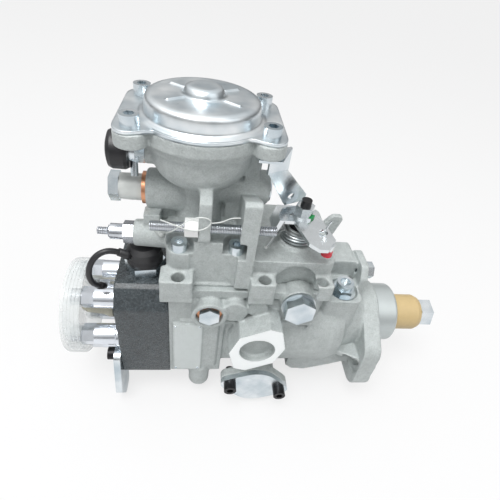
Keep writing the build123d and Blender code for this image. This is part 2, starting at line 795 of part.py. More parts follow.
with BuildPart() as delivery_valves:
    for place_y, place_z in outlet_places:
        turned_x(
            [
                (head_end + 2, 0),
                (head_end + 2, 2.2),
                (head_end + 8, 2.2),
                (head_end + 8, 4.0 - running_gap),
                (head_end + holder_thread_length - 0.5, 4.0 - running_gap),
                (head_end + holder_thread_length - 0.5, 0),
            ],
            place_y,
            place_z,
        )
save(delivery_valves.part, "delivery_valves")

# Transit plug on the head plug and the clear transit cap over the outlets
with BuildPart() as transit_plug:
    turned_x(
        [
            (outlet_tip + 1, 0),
            (outlet_tip + 1, 4.5),
            (outlet_tip + 5, 6.5),
            (head_end - 18, 8),
            (head_end - 13, 10),
            (head_end - 10, 10),
            (head_end - 10, 8.2),
            (head_end - 12 - 0.1, 6.2),
            (head_end - 12 - 0.1, 0),
        ]
    )
save(transit_plug.part, "transit_plug")

cap_open = hex_end - 0.5
cap_end = cap_open - cap_depth
with BuildPart() as outlet_cap:
    rod_x(cap_radius, cap_end, cap_open)
    rod_x(cap_radius - cap_wall, cap_end + cap_wall, cap_open, mode=Mode.SUBTRACT)
    for place_y, place_z in outlet_places:
        rod_x(outlet_thread_radius + 1.7, cap_end + cap_wall, cap_open, place_y, place_z)
        rod_x(outlet_thread_radius + screw_gap, cap_end + cap_wall, cap_open, place_y, place_z, Mode.SUBTRACT)
    for rib in range(5):
        rib_x = cap_end + 1.5 + rib * 2.5
        turned_x([(rib_x, cap_radius - 0.5), (rib_x, cap_radius + 0.7), (rib_x + 1.2, cap_radius + 0.7),
                  (rib_x + 1.2, cap_radius - 0.5)])
save(outlet_cap.part, "outlet_cap")

# Support plate on the head's outer face
with BuildPart() as support_plate:
    with BuildSketch(facing_x(head_end, side=-1)):
        with BuildLine():
            FilletPolyline((-41, 13), (-50, 50), (-40, 68), (-26, 68), (-22, 48), (-24.5, 13),
                           radius=6, close=True)
        make_face()
    extrude(amount=plate_thick)
    plate_screw_y, plate_screw_z = head_screws[0]
    rod_x(cap_shank_radius + screw_gap, head_end - plate_thick, head_end, plate_screw_y, plate_screw_z, Mode.SUBTRACT)
save(support_plate.part, "support_plate")

# Stop solenoid on the head: body, armature, boot and lead
solenoid_seat = head_top - 8
with BuildPart() as solenoid_body:
    rod_z(9, solenoid_seat - 20, solenoid_seat, solenoid_x, solenoid_y)
    rod_z(12, solenoid_seat, solenoid_seat + 2, solenoid_x, solenoid_y)
    hexagon(facing_z(solenoid_seat + 2, solenoid_x, solenoid_y), 24, 6, 8)
    rod_z(10.5, solenoid_seat + 8, solenoid_seat + 14, solenoid_x, solenoid_y)
    rod_z(5 + running_gap, solenoid_seat - 20, solenoid_seat - 4, solenoid_x, solenoid_y, Mode.SUBTRACT)
save(solenoid_body.part, "solenoid_body")

with BuildPart() as solenoid_armature:
    rod_z(5, solenoid_seat - 21, solenoid_seat - 6, solenoid_x, solenoid_y)
save(solenoid_armature.part, "solenoid_armature")

lead_diameter = 4.0
lead_route = [
    (-196.4, -17.5, 72.0),
    (-202.0, -20.0, 76.6),
    (-208.0, -22.0, 78.5),
    (-214.0, -24.0, 75.8),
    (-218.2, -26.0, 69.5),
    (-220.0, -27.0, 61.5),
    (-219.5, -26.0, 53.5),
    (-217.5, -22.5, 46.5),
    (-216.0, -18.0, 41.5),
]
lead_start_way = Vector(*lead_route[1]) - Vector(*lead_route[0])
boot_bottom = solenoid_seat + 8.2
with BuildPart() as solenoid_boot:
    turned_z(
        [(10.6, boot_bottom), (12.2, boot_bottom), (12.4, boot_bottom + 3), (11.6, boot_bottom + 5),
         (11.6, boot_bottom + 11), (9, boot_bottom + 14), (0, boot_bottom + 14), (0, solenoid_seat + 14.1),
         (10.6, solenoid_seat + 14.1)],
        solenoid_x, solenoid_y)
    with BuildSketch(Plane(origin=lead_route[0], z_dir=lead_start_way)):
        Circle(2.8)
    extrude(amount=-4)
save(solenoid_boot.part, "solenoid_boot")

def bend_radii(route, share=0.45):
    """The largest arc each corner's two runs allow, as a share of the shorter run."""
    places = [Vector(*place) for place in route]
    radii = []
    for before, corner, after in zip(places, places[1:], places[2:]):
        run_in = corner - before
        run_out = after - corner
        half_turn = radians(run_in.get_angle(run_out) / 2)
        radii.append(share * min(run_in.length, run_out.length) / (sin(half_turn) / cos(half_turn)))
    return radii


lead_radii = bend_radii(lead_route)
print("lead bend radii", [round(radius, 1) for radius in lead_radii])
with BuildPart() as solenoid_lead:
    with BuildLine() as lead_path:
        FilletPolyline(*lead_route, radius=lead_radii)
    with BuildSketch(Plane(origin=lead_route[0], z_dir=lead_path.wire() % 0)):
        Circle(lead_diameter / 2)
    sweep()
lead_length = lead_path.wire().length
lead_volume = pi * (lead_diameter / 2) ** 2 * lead_length
print("lead length", round(lead_length, 1), "volume ratio", round(solenoid_lead.part.volume / lead_volume, 4))
save(solenoid_lead.part, "solenoid_lead")

# Governor cover with the compensator's bowl, in one casting
full_load_y = -12.0
full_load_z = 87.0
stop_rod_y = -31.0
stop_rod_z = 108.0
stop_rod_radius = 3.0
inlet_y = 0.0
inlet_z = 114.0
inlet_boss_radius = 12.5
inlet_boss_end = -183.0
plug_boss_z = 120.0
boost_port_y = -4.0
boost_port_z = 141.0
lug_places = [(-162.5, 21.0), (-106.5, 17.0), (-67.5, 17.0)]
lug_front = -44.0
lug_top = 74.0
with BuildPart() as governor_cover:
    # the high part on the left and the low part on the right
    with BuildSketch(Plane.XY.offset(joint_height)):
        with Locations(((cover_left + cover_right) / 2, 0)):
            RectangleRounded(cover_right - cover_left, 2 * chamber_half_width, 9)
    extrude(amount=cover_low_top - joint_height)
    with BuildSketch(Plane.XY.offset(joint_height)):
        with Locations(((cover_left + cover_step_x) / 2, 0)):
            RectangleRounded(cover_step_x - cover_left, 2 * chamber_half_width, 9)
    extrude(amount=cover_high_top - joint_height)
    # pockets for the front cover screws
    for hole_x, hole_y in cover_screws_front:
        rod_z(9, screw_seat_z, cover_high_top + 1, hole_x, hole_y - 2, Mode.SUBTRACT)
    # the recessed front panel between them
    with BuildSketch(facing_y(-chamber_half_width, -141, 80)):
        Rectangle(28, 36)
    extrude(amount=-1.5, mode=Mode.SUBTRACT)
    # neck, cup and the four-lobed flange of the compensator
    turned_z(
        [(0, cover_high_top - 4), (18, cover_high_top - 4), (15, cover_high_top + 8), (15, 124.5), (19.5, 126),
         (23.5, 128.5), (26.5, 132), (28.8, 136.5), (30.2, 142), (30.5, 148), (33, 149.5),
         (33, cast_flange_bottom + 1), (0, cast_flange_bottom + 1)],
        compensator_x)
    with BuildSketch(Plane.XY.offset(cast_flange_bottom)):
        with Locations((compensator_x, 0)):
            Circle(dome_radius + 4)
        with Locations(*compensator_screws):
            Circle(9)
        with Locations((compensator_x, 0)):
            Rectangle(2 * screw_half_span_x + 18, 2 * screw_half_span_y)
    extrude(amount=cast_flange_top - cast_flange_bottom)
    # inlet boss on the left, plug boss on the right
    turned_x([(inlet_boss_end, 0), (inlet_boss_end, inlet_boss_radius - 1), (inlet_boss_end + 1, inlet_boss_radius),
              (-162, inlet_boss_radius + 1), (-150, inlet_boss_radius), (-150, 0)], inlet_y, inlet_z)
    turned_x([(-150, 0), (-150, 11.5), (-108, 11), (-107.5, 10.2), (-106.5, 10.2), (-106.5, 0)], 0, plug_boss_z)
    block((-134, -122), (-9, 9), (cover_high_top - 4, 128))
    block((-123.5, -114), (-8, 12), (plug_boss_z, cast_flange_bottom + 1))
    # the boost port's boss under the flange
    rod_x(7, -182, -166, boost_port_y, boost_port_z)
    block((-180, -166), (boost_port_y - 6, boost_port_y + 6), (boost_port_z, cast_flange_bottom + 1))
    # full-load screw boss with its lug
    turned_x([(-191, 0), (-191, 8), (-190, 8.8), (-170, 9.5), (-170, 0)], full_load_y, full_load_z)
    block((-184, -174), (full_load_y - 4, full_load_y + 5), (88, 104))
    # the two posts that carry the speed stop rod
    with BuildSketch(Plane.YZ.offset(-150)):
        with BuildLine():
            FilletPolyline((-35, 99), (-35, 127), (-24, 134), (-14, 134), (-14, 119), (-27, 119), (-27, 99),
                           radius=2.5, close=True)
        make_face()
    extrude(amount=7.5)
    with BuildSketch(Plane.YZ.offset(-124.8)):
        with BuildLine():
            FilletPolyline((-37, 62), (-37, 129), (-33.5, 130.5), (-8, 119), (-8, 84), (-25, 62), radius=1.5, close=True)
        make_face()
    extrude(amount=10.5)
    # the scallop in the right-hand post around its neighbouring cap screw
    rod_z(9, screw_seat_z, 101, cover_screws_front[1][0], cover_screws_front[1][1] - 2, Mode.SUBTRACT)
    # lugs on the front, each with a plain hole
    for lug_x, lug_width in lug_places:
        with BuildSketch(facing_z(60.5, lug_x, (lug_front - 28) / 2)):
            RectangleRounded(lug_width, -28 - lug_front, 2)
        extrude(amount=lug_top - 60.5)
    for lug_x, lug_width in lug_places[:2]:
        block((lug_x - lug_width / 2, lug_x + lug_width / 2), (lug_front + 0.5, -38.4), (54.5, 62))
    # the arch between the right-hand lugs, over the large plug
    rod_y(14.5, -46, -27.6, large_plug_x, large_plug_z, Mode.SUBTRACT)
    rod_y(14.5, -46, -28, -83.4, 67, Mode.SUBTRACT)
    # boss of the throttle shaft and the stop tab behind it
    rod_z(13.5, cover_low_top - 2, 87, throttle_x, throttle_y)
    rod_z(9.3, 86, 97, throttle_x, throttle_y)
    with BuildSketch(Plane.XZ.offset(-10)):
        Polygon((-63, 72), (-63, 84), (-56, 94), (-54, 96), (-47.5, 96), (-46, 93), (-52, 72), align=None)
    extrude(amount=4)
    # the inner chamber, open downwards to the housing
    with BuildSketch(Plane.XY.offset(joint_height)):
        with Locations((-112, 0)):
            RectangleRounded(96, 2 * (chamber_half_width - cover_wall) - 12, 8)
    extrude(amount=18, mode=Mode.SUBTRACT)
    # the compensator's cup, the guide bore of its pin and the inlet passage
    rod_z(bowl_cavity_radius, bowl_bottom + 5, cast_flange_top, compensator_x, mode=Mode.SUBTRACT)
    rod_z(28, 151, cast_flange_top, compensator_x, mode=Mode.SUBTRACT)
    rod_z(6 + running_gap, 70, bowl_bottom + 6, compensator_x, mode=Mode.SUBTRACT)
    rod_x(6 + screw_gap, inlet_boss_end, -158, inlet_y, inlet_z, Mode.SUBTRACT)
    rod_x(4 + screw_gap, -182, -170, boost_port_y, boost_port_z, Mode.SUBTRACT)
    rod_x(4 + screw_gap, -191, -168, full_load_y, full_load_z, Mode.SUBTRACT)
    rod_x(stop_rod_radius + screw_gap, -151, -110, stop_rod_y, stop_rod_z, Mode.SUBTRACT)
    rod_z(throttle_radius + running_gap, 60, 98, throttle_x, throttle_y, Mode.SUBTRACT)
    for lug_x, lug_width in lug_places:
        rod_z(4.2, 60, lug_top + 1, lug_x + 1, -38.5, Mode.SUBTRACT)
    for hole_x, hole_y in compensator_screws:
        rod_z(cap_shank_radius + screw_gap, cast_flange_bottom - 1, cast_flange_top, hole_x, hole_y,
              Mode.SUBTRACT)
    for hole_x, hole_y in cover_screws_front:
        rod_z(cap_shank_radius + screw_gap, joint_height, screw_seat_z, hole_x, hole_y, Mode.SUBTRACT)
    for hole_x, hole_y in cover_screws_rear:
        rod_z(cap_shank_radius + screw_gap, joint_height, cover_high_top, hole_x, hole_y, Mode.SUBTRACT)
        rod_z(cap_head_radius + 1.5, 78, cover_high_top + 1, hole_x, hole_y, Mode.SUBTRACT)
save(governor_cover.part, "governor_cover")

# Pressed steel dome of the compensator
with BuildPart() as compensator_cover:
    with BuildSketch(Plane.XY.offset(cast_flange_top)):
        with Locations((compensator_x, 0)):
            Circle(dome_radius + 4)
        with Locations(*compensator_screws):
            Circle(9)
        with Locations((compensator_x, 0)):
            Rectangle(2 * screw_half_span_x + 18, 2 * screw_half_span_y)
    extrude(amount=sheet_thick)
    turned_z(
        [(0, sheet_top - 0.5), (dome_radius + 1.5, sheet_top - 0.5), (dome_radius + 0.5, sheet_top + 1),
         (dome_radius, sheet_top + 1.5), (dome_radius, sheet_top + 3.2), (dome_radius - 0.8, sheet_top + 4),
         (dome_radius - 0.8, dome_top - 3.6), (dome_radius - 2, dome_top - 1.4), (dome_radius - 4, dome_top - 0.3),
         (dome_radius - 7, dome_top), (button_radius + 1, dome_top), (button_radius, dome_top + button_height - 2),
         (button_radius - 2, dome_top + button_height), (0, dome_top + button_height)],
        compensator_x)
    # the embossed cross of ribs
    for angle in (35, 145, 215, 325):
        with Locations(Location((compensator_x, 0, dome_top), (0, 0, angle))):
            with Locations((17.2, 0, 0)):
                Box(12.6, 2.6, 1.6)
    rod_z(dome_radius - 3, cast_flange_top, dome_top - 2, compensator_x, mode=Mode.SUBTRACT)
    rod_z(button_radius - 2, dome_top - 3, dome_top + button_height - 2, compensator_x, mode=Mode.SUBTRACT)
    for hole_x, hole_y in compensator_screws:
        rod_z(cap_shank_radius + screw_gap, cast_flange_top, sheet_top, hole_x, hole_y, Mode.SUBTRACT)
save(compensator_cover.part, "compensator_cover")

# Diaphragm, boost pin and spring inside the compensator
diaphragm_z = 156.0
pin_travel = 4.0
with BuildPart() as diaphragm:
    turned_z([(10.1, diaphragm_z), (24, diaphragm_z), (25.5, diaphragm_z + 2), (27.6, cast_flange_top - 1.4),
              (27.6, cast_flange_top - 0.2), (24.5, cast_flange_top - 0.2), (22.5, diaphragm_z + 1.2),
              (10.1, diaphragm_z + 1.2)], compensator_x)
save(diaphragm.part, "diaphragm")

with BuildPart() as boost_pin:
    turned_z([(0, 78), (3, 78), (6, 84), (6, 136), (8, 138), (8, diaphragm_z - 2), (20, diaphragm_z - 2),
              (20, diaphragm_z - 0.1), (10, diaphragm_z - 0.1), (10, diaphragm_z + 1.3), (18, diaphragm_z + 1.3),
              (18, diaphragm_z + 3), (4, diaphragm_z + 3), (4, diaphragm_z + 8), (0, diaphragm_z + 8)],
             compensator_x)
save(boost_pin.part, "boost_pin")

with BuildPart() as boost_spring:
    with BuildLine():
        Helix(5.0, 19.5, 13)
    with BuildSketch(Plane(origin=(13, 0, 0), z_dir=(0, 1, 0))):
        RegularPolygon(1.1, 8)
    sweep()
save(boost_spring.part.moved(Location((compensator_x, 0, bowl_bottom + 6.6))), "boost_spring")

# Boost port: steel fitting and black cap
with BuildPart() as boost_port_fitting:
    rod_x(4, -182, -172, boost_port_y, boost_port_z)
    hexagon(facing_x(-182, boost_port_y, boost_port_z, -1), 12, 5.5)
    rod_x(6.5, -191, -187.5, boost_port_y, boost_port_z)
    rod_x(3, -194, -191, boost_port_y, boost_port_z)
    with Locations(Location((-188.6, boost_port_y - 2.5, boost_port_z - 8.5), (-15, 0, 0))):
        Cylinder(2.2, 12)
save(boost_port_fitting.part, "boost_port_fitting")

with BuildPart() as boost_port_cap:
    turned_x([(-203, 0), (-203, 7.5), (-202, 10.3), (-200, 11.3), (-193, 11.3), (-191.1, 10.3), (-191.1, 3.1),
              (-194.1, 3.1), (-194.1, 0)], boost_port_y, boost_port_z)
save(boost_port_cap.part, "boost_port_cap")

# Inlet port: hex bolt, plastic sleeve and sealing washers of all ports
with BuildPart() as inlet_bolt:
    hexagon(facing_x(inlet_boss_end - 16.2, inlet_y, inlet_z, -1), 16.5, 6)
    rod_x(5.8, inlet_boss_end - 16.2, inlet_boss_end + 14, inlet_y, inlet_z)
save(inlet_bolt.part, "inlet_bolt")

with BuildPart() as inlet_sleeve:
    turned_x([(inlet_boss_end - 16.2, 5.9), (inlet_boss_end - 16.2, 8.2), (inlet_boss_end - 10, 8.4),
              (inlet_boss_end - 2.4, 8.4), (inlet_boss_end - 2.4, 5.9)], inlet_y, inlet_z)
save(inlet_sleeve.part, "inlet_sleeve")

with BuildPart() as sealing_washers:
    rod_x(10.2, inlet_boss_end - 2.4, inlet_boss_end, inlet_y, inlet_z)
    rod_x(5.9, inlet_boss_end - 2.4, inlet_boss_end, inlet_y, inlet_z, Mode.SUBTRACT)
    rod_y(8.8, recessed_seat_y - 1.5, recessed_seat_y, recessed_plug_x, recessed_plug_z)
    rod_y(recessed_shank_radius + screw_gap, recessed_seat_y - 1.5, recessed_seat_y, recessed_plug_x, recessed_plug_z, Mode.SUBTRACT)
    rod_y(12, large_plug_seat_y - 1.5, large_plug_seat_y, large_plug_x, large_plug_z)
    rod_y(9.1, large_plug_seat_y - 1.5, large_plug_seat_y, large_plug_x, large_plug_z, Mode.SUBTRACT)
save(sealing_washers.part, "sealing_washers")

# Hex plugs of the front wall
with BuildPart() as hex_plugs:
    hexagon(facing_y(recessed_seat_y - 1.5, recessed_plug_x, recessed_plug_z), recessed_plug_flats, 4.5, 30)
    rod_y(recessed_shank_radius, recessed_seat_y - 1.5, recessed_seat_y + 9, recessed_plug_x, recessed_plug_z)
    hexagon(facing_y(large_plug_seat_y - 1.5, large_plug_x, large_plug_z), large_plug_flats, large_plug_height, 30)
    rod_y(9, large_plug_seat_y - 1.5, large_plug_seat_y + 6, large_plug_x, large_plug_z)
save(hex_plugs.part, "hex_plugs")

# Full-load screw
with BuildPart() as full_load_screw:
    rod_x(4, -207, -174, full_load_y, full_load_z)
    rod_x(2.4, -214, -207, full_load_y, full_load_z)
    block((-214, -211), (full_load_y - 0.5, full_load_y + 0.5), (full_load_z - 3, full_load_z + 3), Mode.SUBTRACT)
save(full_load_screw.part, "full_load_screw")

# Speed stop rod and the two lock nuts
with BuildPart() as speed_stop_rod:
    rod_x(stop_rod_radius, -178, -103, stop_rod_y, stop_rod_z)
save(speed_stop_rod.part, "speed_stop_rod")

with BuildPart() as lock_nuts:
    hexagon(facing_x(-150, stop_rod_y, stop_rod_z, -1), 10, 8, 15)
    rod_x(stop_rod_radius + screw_gap, -158, -150, stop_rod_y, stop_rod_z, Mode.SUBTRACT)
    hexagon(facing_x(-191, full_load_y, full_load_z, -1), 13, 6.5, 15)
    rod_x(5.2, -206, -197.5, full_load_y, full_load_z)
    rod_x(4 + screw_gap, -206, -191, full_load_y, full_load_z, Mode.SUBTRACT)
save(lock_nuts.part, "lock_nuts")

# Zinc-plated M6 cap screws: compensator and governor cover
with BuildPart() as zinc_cap_screws:
    for place_x, place_y in compensator_screws:
        with Locations((place_x, place_y, sheet_top)):
            add(cap_screw(sheet_thick + cast_flange_top - cast_flange_bottom + 1))
    for place_x, place_y in cover_screws_front:
        with Locations((place_x, place_y, screw_seat_z)):
            add(cap_screw(screw_seat_z - joint_height + 13))
    for place_x, place_y in cover_screws_rear:
        with Locations((place_x, place_y, 78)):
            add(cap_screw(78 - joint_height + 13))
save(zinc_cap_screws.part, "zinc_cap_screws")

# Black M6 cap screws: timing covers, distributor head and support plate
with BuildPart() as black_cap_screws:
    for side in (-1, 1):
        for hole_x, hole_z in timing_screws:
            seat_y = side * (timing_half_length + timing_cover_thick)
            with Locations(Location((hole_x, seat_y, hole_z), (-side * 90, 0, 0))):
                add(cap_screw(timing_cover_thick + 11))
    for way_y, way_z in head_screws:
        seat_x = head_end - plate_thick if (way_y, way_z) == head_screws[0] else head_end + 6
        with Locations(Location((seat_x, way_y, way_z), (0, -90, 0))):
            add(cap_screw(head_x + 14 - seat_x))
save(black_cap_screws.part, "black_cap_screws")

# Pressure valve of the supply pump and its sliding piston
with BuildPart() as pressure_valve:
    rod_z(valve_bore_radius, 26, valve_seat_z, valve_x, valve_y)
    rod_z(10, valve_seat_z, valve_seat_z + 2.5, valve_x, valve_y)
    hexagon(facing_z(valve_seat_z + 2.5, valve_x, valve_y), 15, 5)
    rod_z(6.4, valve_seat_z + 7.5, valve_seat_z + 12, valve_x, valve_y)
    rod_z(4, valve_seat_z + 8, valve_seat_z + 12, valve_x, valve_y, Mode.SUBTRACT)
    rod_z(4.5 + running_gap, 26, 38, valve_x, valve_y, Mode.SUBTRACT)
save(pressure_valve.part, "pressure_valve")

with BuildPart() as pressure_valve_piston:
    rod_z(4.5, 26, 33, valve_x, valve_y)
save(pressure_valve_piston.part, "pressure_valve_piston")

# Hex bolt in the lug above the flange
with BuildPart() as lug_bolt:
    hexagon(facing_x(-19, bolt_lug_y, bolt_lug_z), 12, 7)
    rod_x(3, -24.5, -19, bolt_lug_y, bolt_lug_z)
save(lug_bolt.part, "lug_bolt")

# Throttle shaft, lever, nut and return spring
nut_seat = lever_z + lever_thick
with BuildPart() as throttle_shaft:
    rod_z(throttle_radius, 66, 98, throttle_x, throttle_y)
    rod_z(8, 97.3, lever_z, throttle_x, throttle_y)
    rod_z(3.5, lever_z, nut_seat + 11.5, throttle_x, throttle_y)
    rod_z(6, 64, 66, throttle_x, throttle_y)
    block((throttle_x - 2, throttle_x + 2), (throttle_y, throttle_y + 9), (61, 64))
save(throttle_shaft.part, "throttle_shaft")

with BuildPart() as throttle_lever:
    with BuildSketch(Plane.XY.offset(lever_z)):
        with BuildLine():
            FilletPolyline((-90.5, -10), (-89, -16.7), (-83.3, -38.5), (lever_tip_x - 2.8, lever_tip_y),
                           (lever_tip_x + 2.8, lever_tip_y), (-65.5, -34.3), (-71.0, -8), radius=1.2, close=True)
        make_face()
        with Locations((throttle_x, throttle_y)):
            Circle(10.5)
        # the link tab on its left side, with two small holes
        Polygon((-98, 1), (-95.2, -17), (-86, -17), (-84, 1), align=None)
        with Locations((throttle_x, throttle_y)):
            Circle(3.5 + screw_gap, mode=Mode.SUBTRACT)
        with Locations((-72.1, -27)):
            Circle(3, mode=Mode.SUBTRACT)
        with Locations((-91, -2.3), (-90.1, -9.9)):
            Circle(1.2, mode=Mode.SUBTRACT)
    extrude(amount=lever_thick)
    # the tab's folded side, which meets the stop rod
    with BuildSketch(Plane.XZ.offset(17)):
        Polygon((-98.5, nut_seat), (-95.2, nut_seat), (-99.2, 95.5), (-101.7, 95.5), align=None)
    extrude(amount=-17)
    # the stud under the tip
    rod_z(3.6, 96, lever_z + 1, -69.5, -36)
save(throttle_lever.part, "throttle_lever")

with BuildPart() as throttle_nut:
    rod_z(7.5, nut_seat, nut_seat + 1.5, throttle_x, throttle_y)
    hexagon(facing_z(nut_seat + 1.5, throttle_x, throttle_y), 11, 6)
    rod_z(3.5 + screw_gap, nut_seat, nut_seat + 8, throttle_x, throttle_y, Mode.SUBTRACT)
save(throttle_nut.part, "throttle_nut")

with BuildPart() as throttle_spring:
    with BuildLine():
        Helix(2.2, 2.2 * spring_turns, spring_radius)
    with BuildSketch(Plane(origin=(spring_radius, 0, 0), z_dir=(0, 1, 0))):
        RegularPolygon(spring_wire / 2, 8)
    sweep()
save(throttle_spring.part.moved(Location((throttle_x, throttle_y, 88.05))), "throttle_spring")

# Sheet bracket: a tab under the compensator's flange, a fold, then a strip sloping down to an eye
bracket_turn = 28.0
bracket_across = (cos(radians(bracket_turn)), sin(radians(bracket_turn)), 0)
bracket_fold = (-106.2, -14.7, 140)
with BuildPart() as lever_bracket:
    with BuildSketch(Plane.XY.offset(cast_flange_bottom - 1.5)):
        Polygon((-120, -30), (-107, -30), (-98.9, -11.7), (-99.6, -10.2), (-113.1, -17), (-120, -17), align=None)
    extrude(amount=1.5)
    with BuildSketch(Plane(origin=bracket_fold, x_dir=bracket_across, z_dir=(-bracket_across[1], bracket_across[0], 0))):
        Polygon((-7.3, -13.4), (7.3, -13.4), (7.3, 0.3), (-7.3, 0.3), align=None)
    extrude(amount=-1.5)
    with BuildSketch(Plane(origin=bracket_fold, x_dir=bracket_across, z_dir=(-0.4576, 0.8615, 0.2209))):
        Polygon((-7, -0.8), (7, -0.8), (33.5, 26.5), (34, 30), (31, 32.5), (17.4, 32.5), (16, 31), align=None)
        with Locations((19.5, 24.6)):
            Circle(2.6, mode=Mode.SUBTRACT)
    extrude(amount=-1.5)
    for hole_x, hole_y in compensator_screws:
        rod_z(cap_shank_radius + screw_gap, cast_flange_bottom - 2, cast_flange_bottom, hole_x, hole_y,
              Mode.SUBTRACT)
save(lever_bracket.part, "lever_bracket")
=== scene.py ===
import json
from math import cos, pi, sin

import bmesh
import bpy
import numpy as np
from mathutils import Matrix, Vector


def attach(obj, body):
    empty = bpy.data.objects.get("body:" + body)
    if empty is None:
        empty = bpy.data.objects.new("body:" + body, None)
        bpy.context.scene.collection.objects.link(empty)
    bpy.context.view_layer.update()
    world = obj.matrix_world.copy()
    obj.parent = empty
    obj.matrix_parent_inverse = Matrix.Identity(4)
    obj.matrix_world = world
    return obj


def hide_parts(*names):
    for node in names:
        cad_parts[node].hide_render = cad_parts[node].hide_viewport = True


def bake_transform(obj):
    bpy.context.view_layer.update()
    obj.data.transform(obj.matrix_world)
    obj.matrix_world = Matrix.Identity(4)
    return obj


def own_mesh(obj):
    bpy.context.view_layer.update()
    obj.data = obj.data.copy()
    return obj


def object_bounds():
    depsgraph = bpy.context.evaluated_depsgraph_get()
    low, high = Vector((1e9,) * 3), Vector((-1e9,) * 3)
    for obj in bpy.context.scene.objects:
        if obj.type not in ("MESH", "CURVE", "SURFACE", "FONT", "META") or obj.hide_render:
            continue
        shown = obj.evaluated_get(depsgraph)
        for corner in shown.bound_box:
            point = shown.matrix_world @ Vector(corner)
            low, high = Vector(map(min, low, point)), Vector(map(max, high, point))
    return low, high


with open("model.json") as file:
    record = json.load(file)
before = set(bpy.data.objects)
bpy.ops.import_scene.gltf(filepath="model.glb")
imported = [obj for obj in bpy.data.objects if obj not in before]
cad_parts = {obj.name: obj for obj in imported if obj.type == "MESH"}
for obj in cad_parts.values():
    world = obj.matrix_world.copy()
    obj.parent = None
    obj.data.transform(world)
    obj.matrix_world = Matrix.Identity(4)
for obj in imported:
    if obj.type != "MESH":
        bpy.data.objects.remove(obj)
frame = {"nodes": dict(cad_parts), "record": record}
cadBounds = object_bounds()
print("frame loaded")

socketNames = {"colour": "Base Color", "specular": "Specular IOR Level", "coat": "Coat Weight",
               "coatRough": "Coat Roughness"}


class Wire:
    # a socket that can be used in a Python expression: each operator adds its Math node
    def __init__(self, tree, socket):
        self.tree = tree
        self.socket = socket

    def maths(self, operation, other=None, swapped=False):
        node = self.tree.nodes.new("ShaderNodeMath")
        node.operation = operation
        ends = [other, self] if swapped else [self, other]
        for index, value in enumerate(ends):
            if isinstance(value, Wire):
                self.tree.links.new(value.socket, node.inputs[index])
            elif value is not None:
                node.inputs[index].default_value = value
        return Wire(self.tree, node.outputs[0])

    def __add__(self, other):
        return self.maths("ADD", other)

    def __radd__(self, other):
        return self.maths("ADD", other)

    def __sub__(self, other):
        return self.maths("SUBTRACT", other)

    def __rsub__(self, other):
        return self.maths("SUBTRACT", other, swapped=True)

    def __mul__(self, other):
        return self.maths("MULTIPLY", other)

    def __rmul__(self, other):
        return self.maths("MULTIPLY", other)

    def sine(self):
        return self.maths("SINE")

    def clipped(self):
        return self.maths("MAXIMUM", 0.0).maths("MINIMUM", 1.0)


class Graph:
    # a node tree: node() adds any node by its type, its settings and its sockets' values or links
    def __init__(self, tree):
        self.tree = tree

    def node(self, kind, settings, values, output=0):
        node = self.tree.nodes.new("ShaderNode" + kind)
        for key, value in settings.items():
            setattr(node, key, value)
        for key, value in values.items():
            self.feed(node.inputs[key], value)
        return Wire(self.tree, node.outputs[output])

    def feed(self, socket, value):
        if isinstance(value, Wire):
            self.tree.links.new(value.socket, socket)
        else:
            socket.default_value = value


class Finish(Graph):
    # one material: its Principled shader, and patterns on the object's own coordinates
    def __init__(self, name):
        self.material = bpy.data.materials.new(name)
        self.material.use_nodes = True
        super().__init__(self.material.node_tree)
        self.shader = self.tree.nodes["Principled BSDF"]
        self.place = self.node("TexCoord", {}, {}, "Object")

    def set(self, **values):
        for key, value in values.items():
            if key == "colour" and not isinstance(value, Wire):
                value = (*value, 1)
            self.feed(self.shader.inputs[socketNames.get(key, key.capitalize())], value)
        return self

    def noise(self, scale, detail=3.0, rough=0.5):
        values = {"Vector": self.place, "Scale": scale, "Detail": detail, "Roughness": rough}
        return self.node("TexNoise", {}, values, "Fac")

    def mix(self, factor, first, second):
        first, second = [(*end, 1) if isinstance(end, tuple) else end for end in (first, second)]
        return self.node("Mix", {"data_type": "RGBA"}, {0: factor, 6: first, 7: second}, 2)

    def axis(self, letter):
        return self.node("SeparateXYZ", {}, {0: self.place}, "XYZ".index(letter))

    def above(self, letter, level, edge=0.0002):
        # 1 where the object coordinate is above the level, 0 below it, with a soft edge
        return ((self.axis(letter) - level) * (1 / edge)).clipped()

    def near(self, centre, radius):
        # 1 inside a ragged ball round the centre, 0 outside it
        distance = self.node("VectorMath", {"operation": "DISTANCE"}, {0: self.place, 1: centre}, 1)
        ragged = self.noise(260, 2.0) * radius
        return ((distance * -1.0 + ragged + radius * 0.5) * (8 / radius)).clipped()

    def ridges(self, letter, pitch):
        # a screw thread's ridges across an axis: half a sine plus a half, from 0 to 1
        return (self.axis(letter) * (2 * pi / pitch)).sine() * 0.5 + 0.5

    def edges(self, level, gain):
        # 1 on sharp outer edges of a fine closed mesh, for a negative gain 1 in its inner corners
        return ((self.node("NewGeometry", {}, {}, "Pointiness") - level) * gain).clipped()

    def bump(self, height, strength, distance):
        values = {"Height": height, "Strength": strength, "Distance": distance}
        return self.set(normal=self.node("Bump", {}, values))


def scaled(colour, share):
    # each channel of the colour times the share
    return tuple(share * channel for channel in colour)


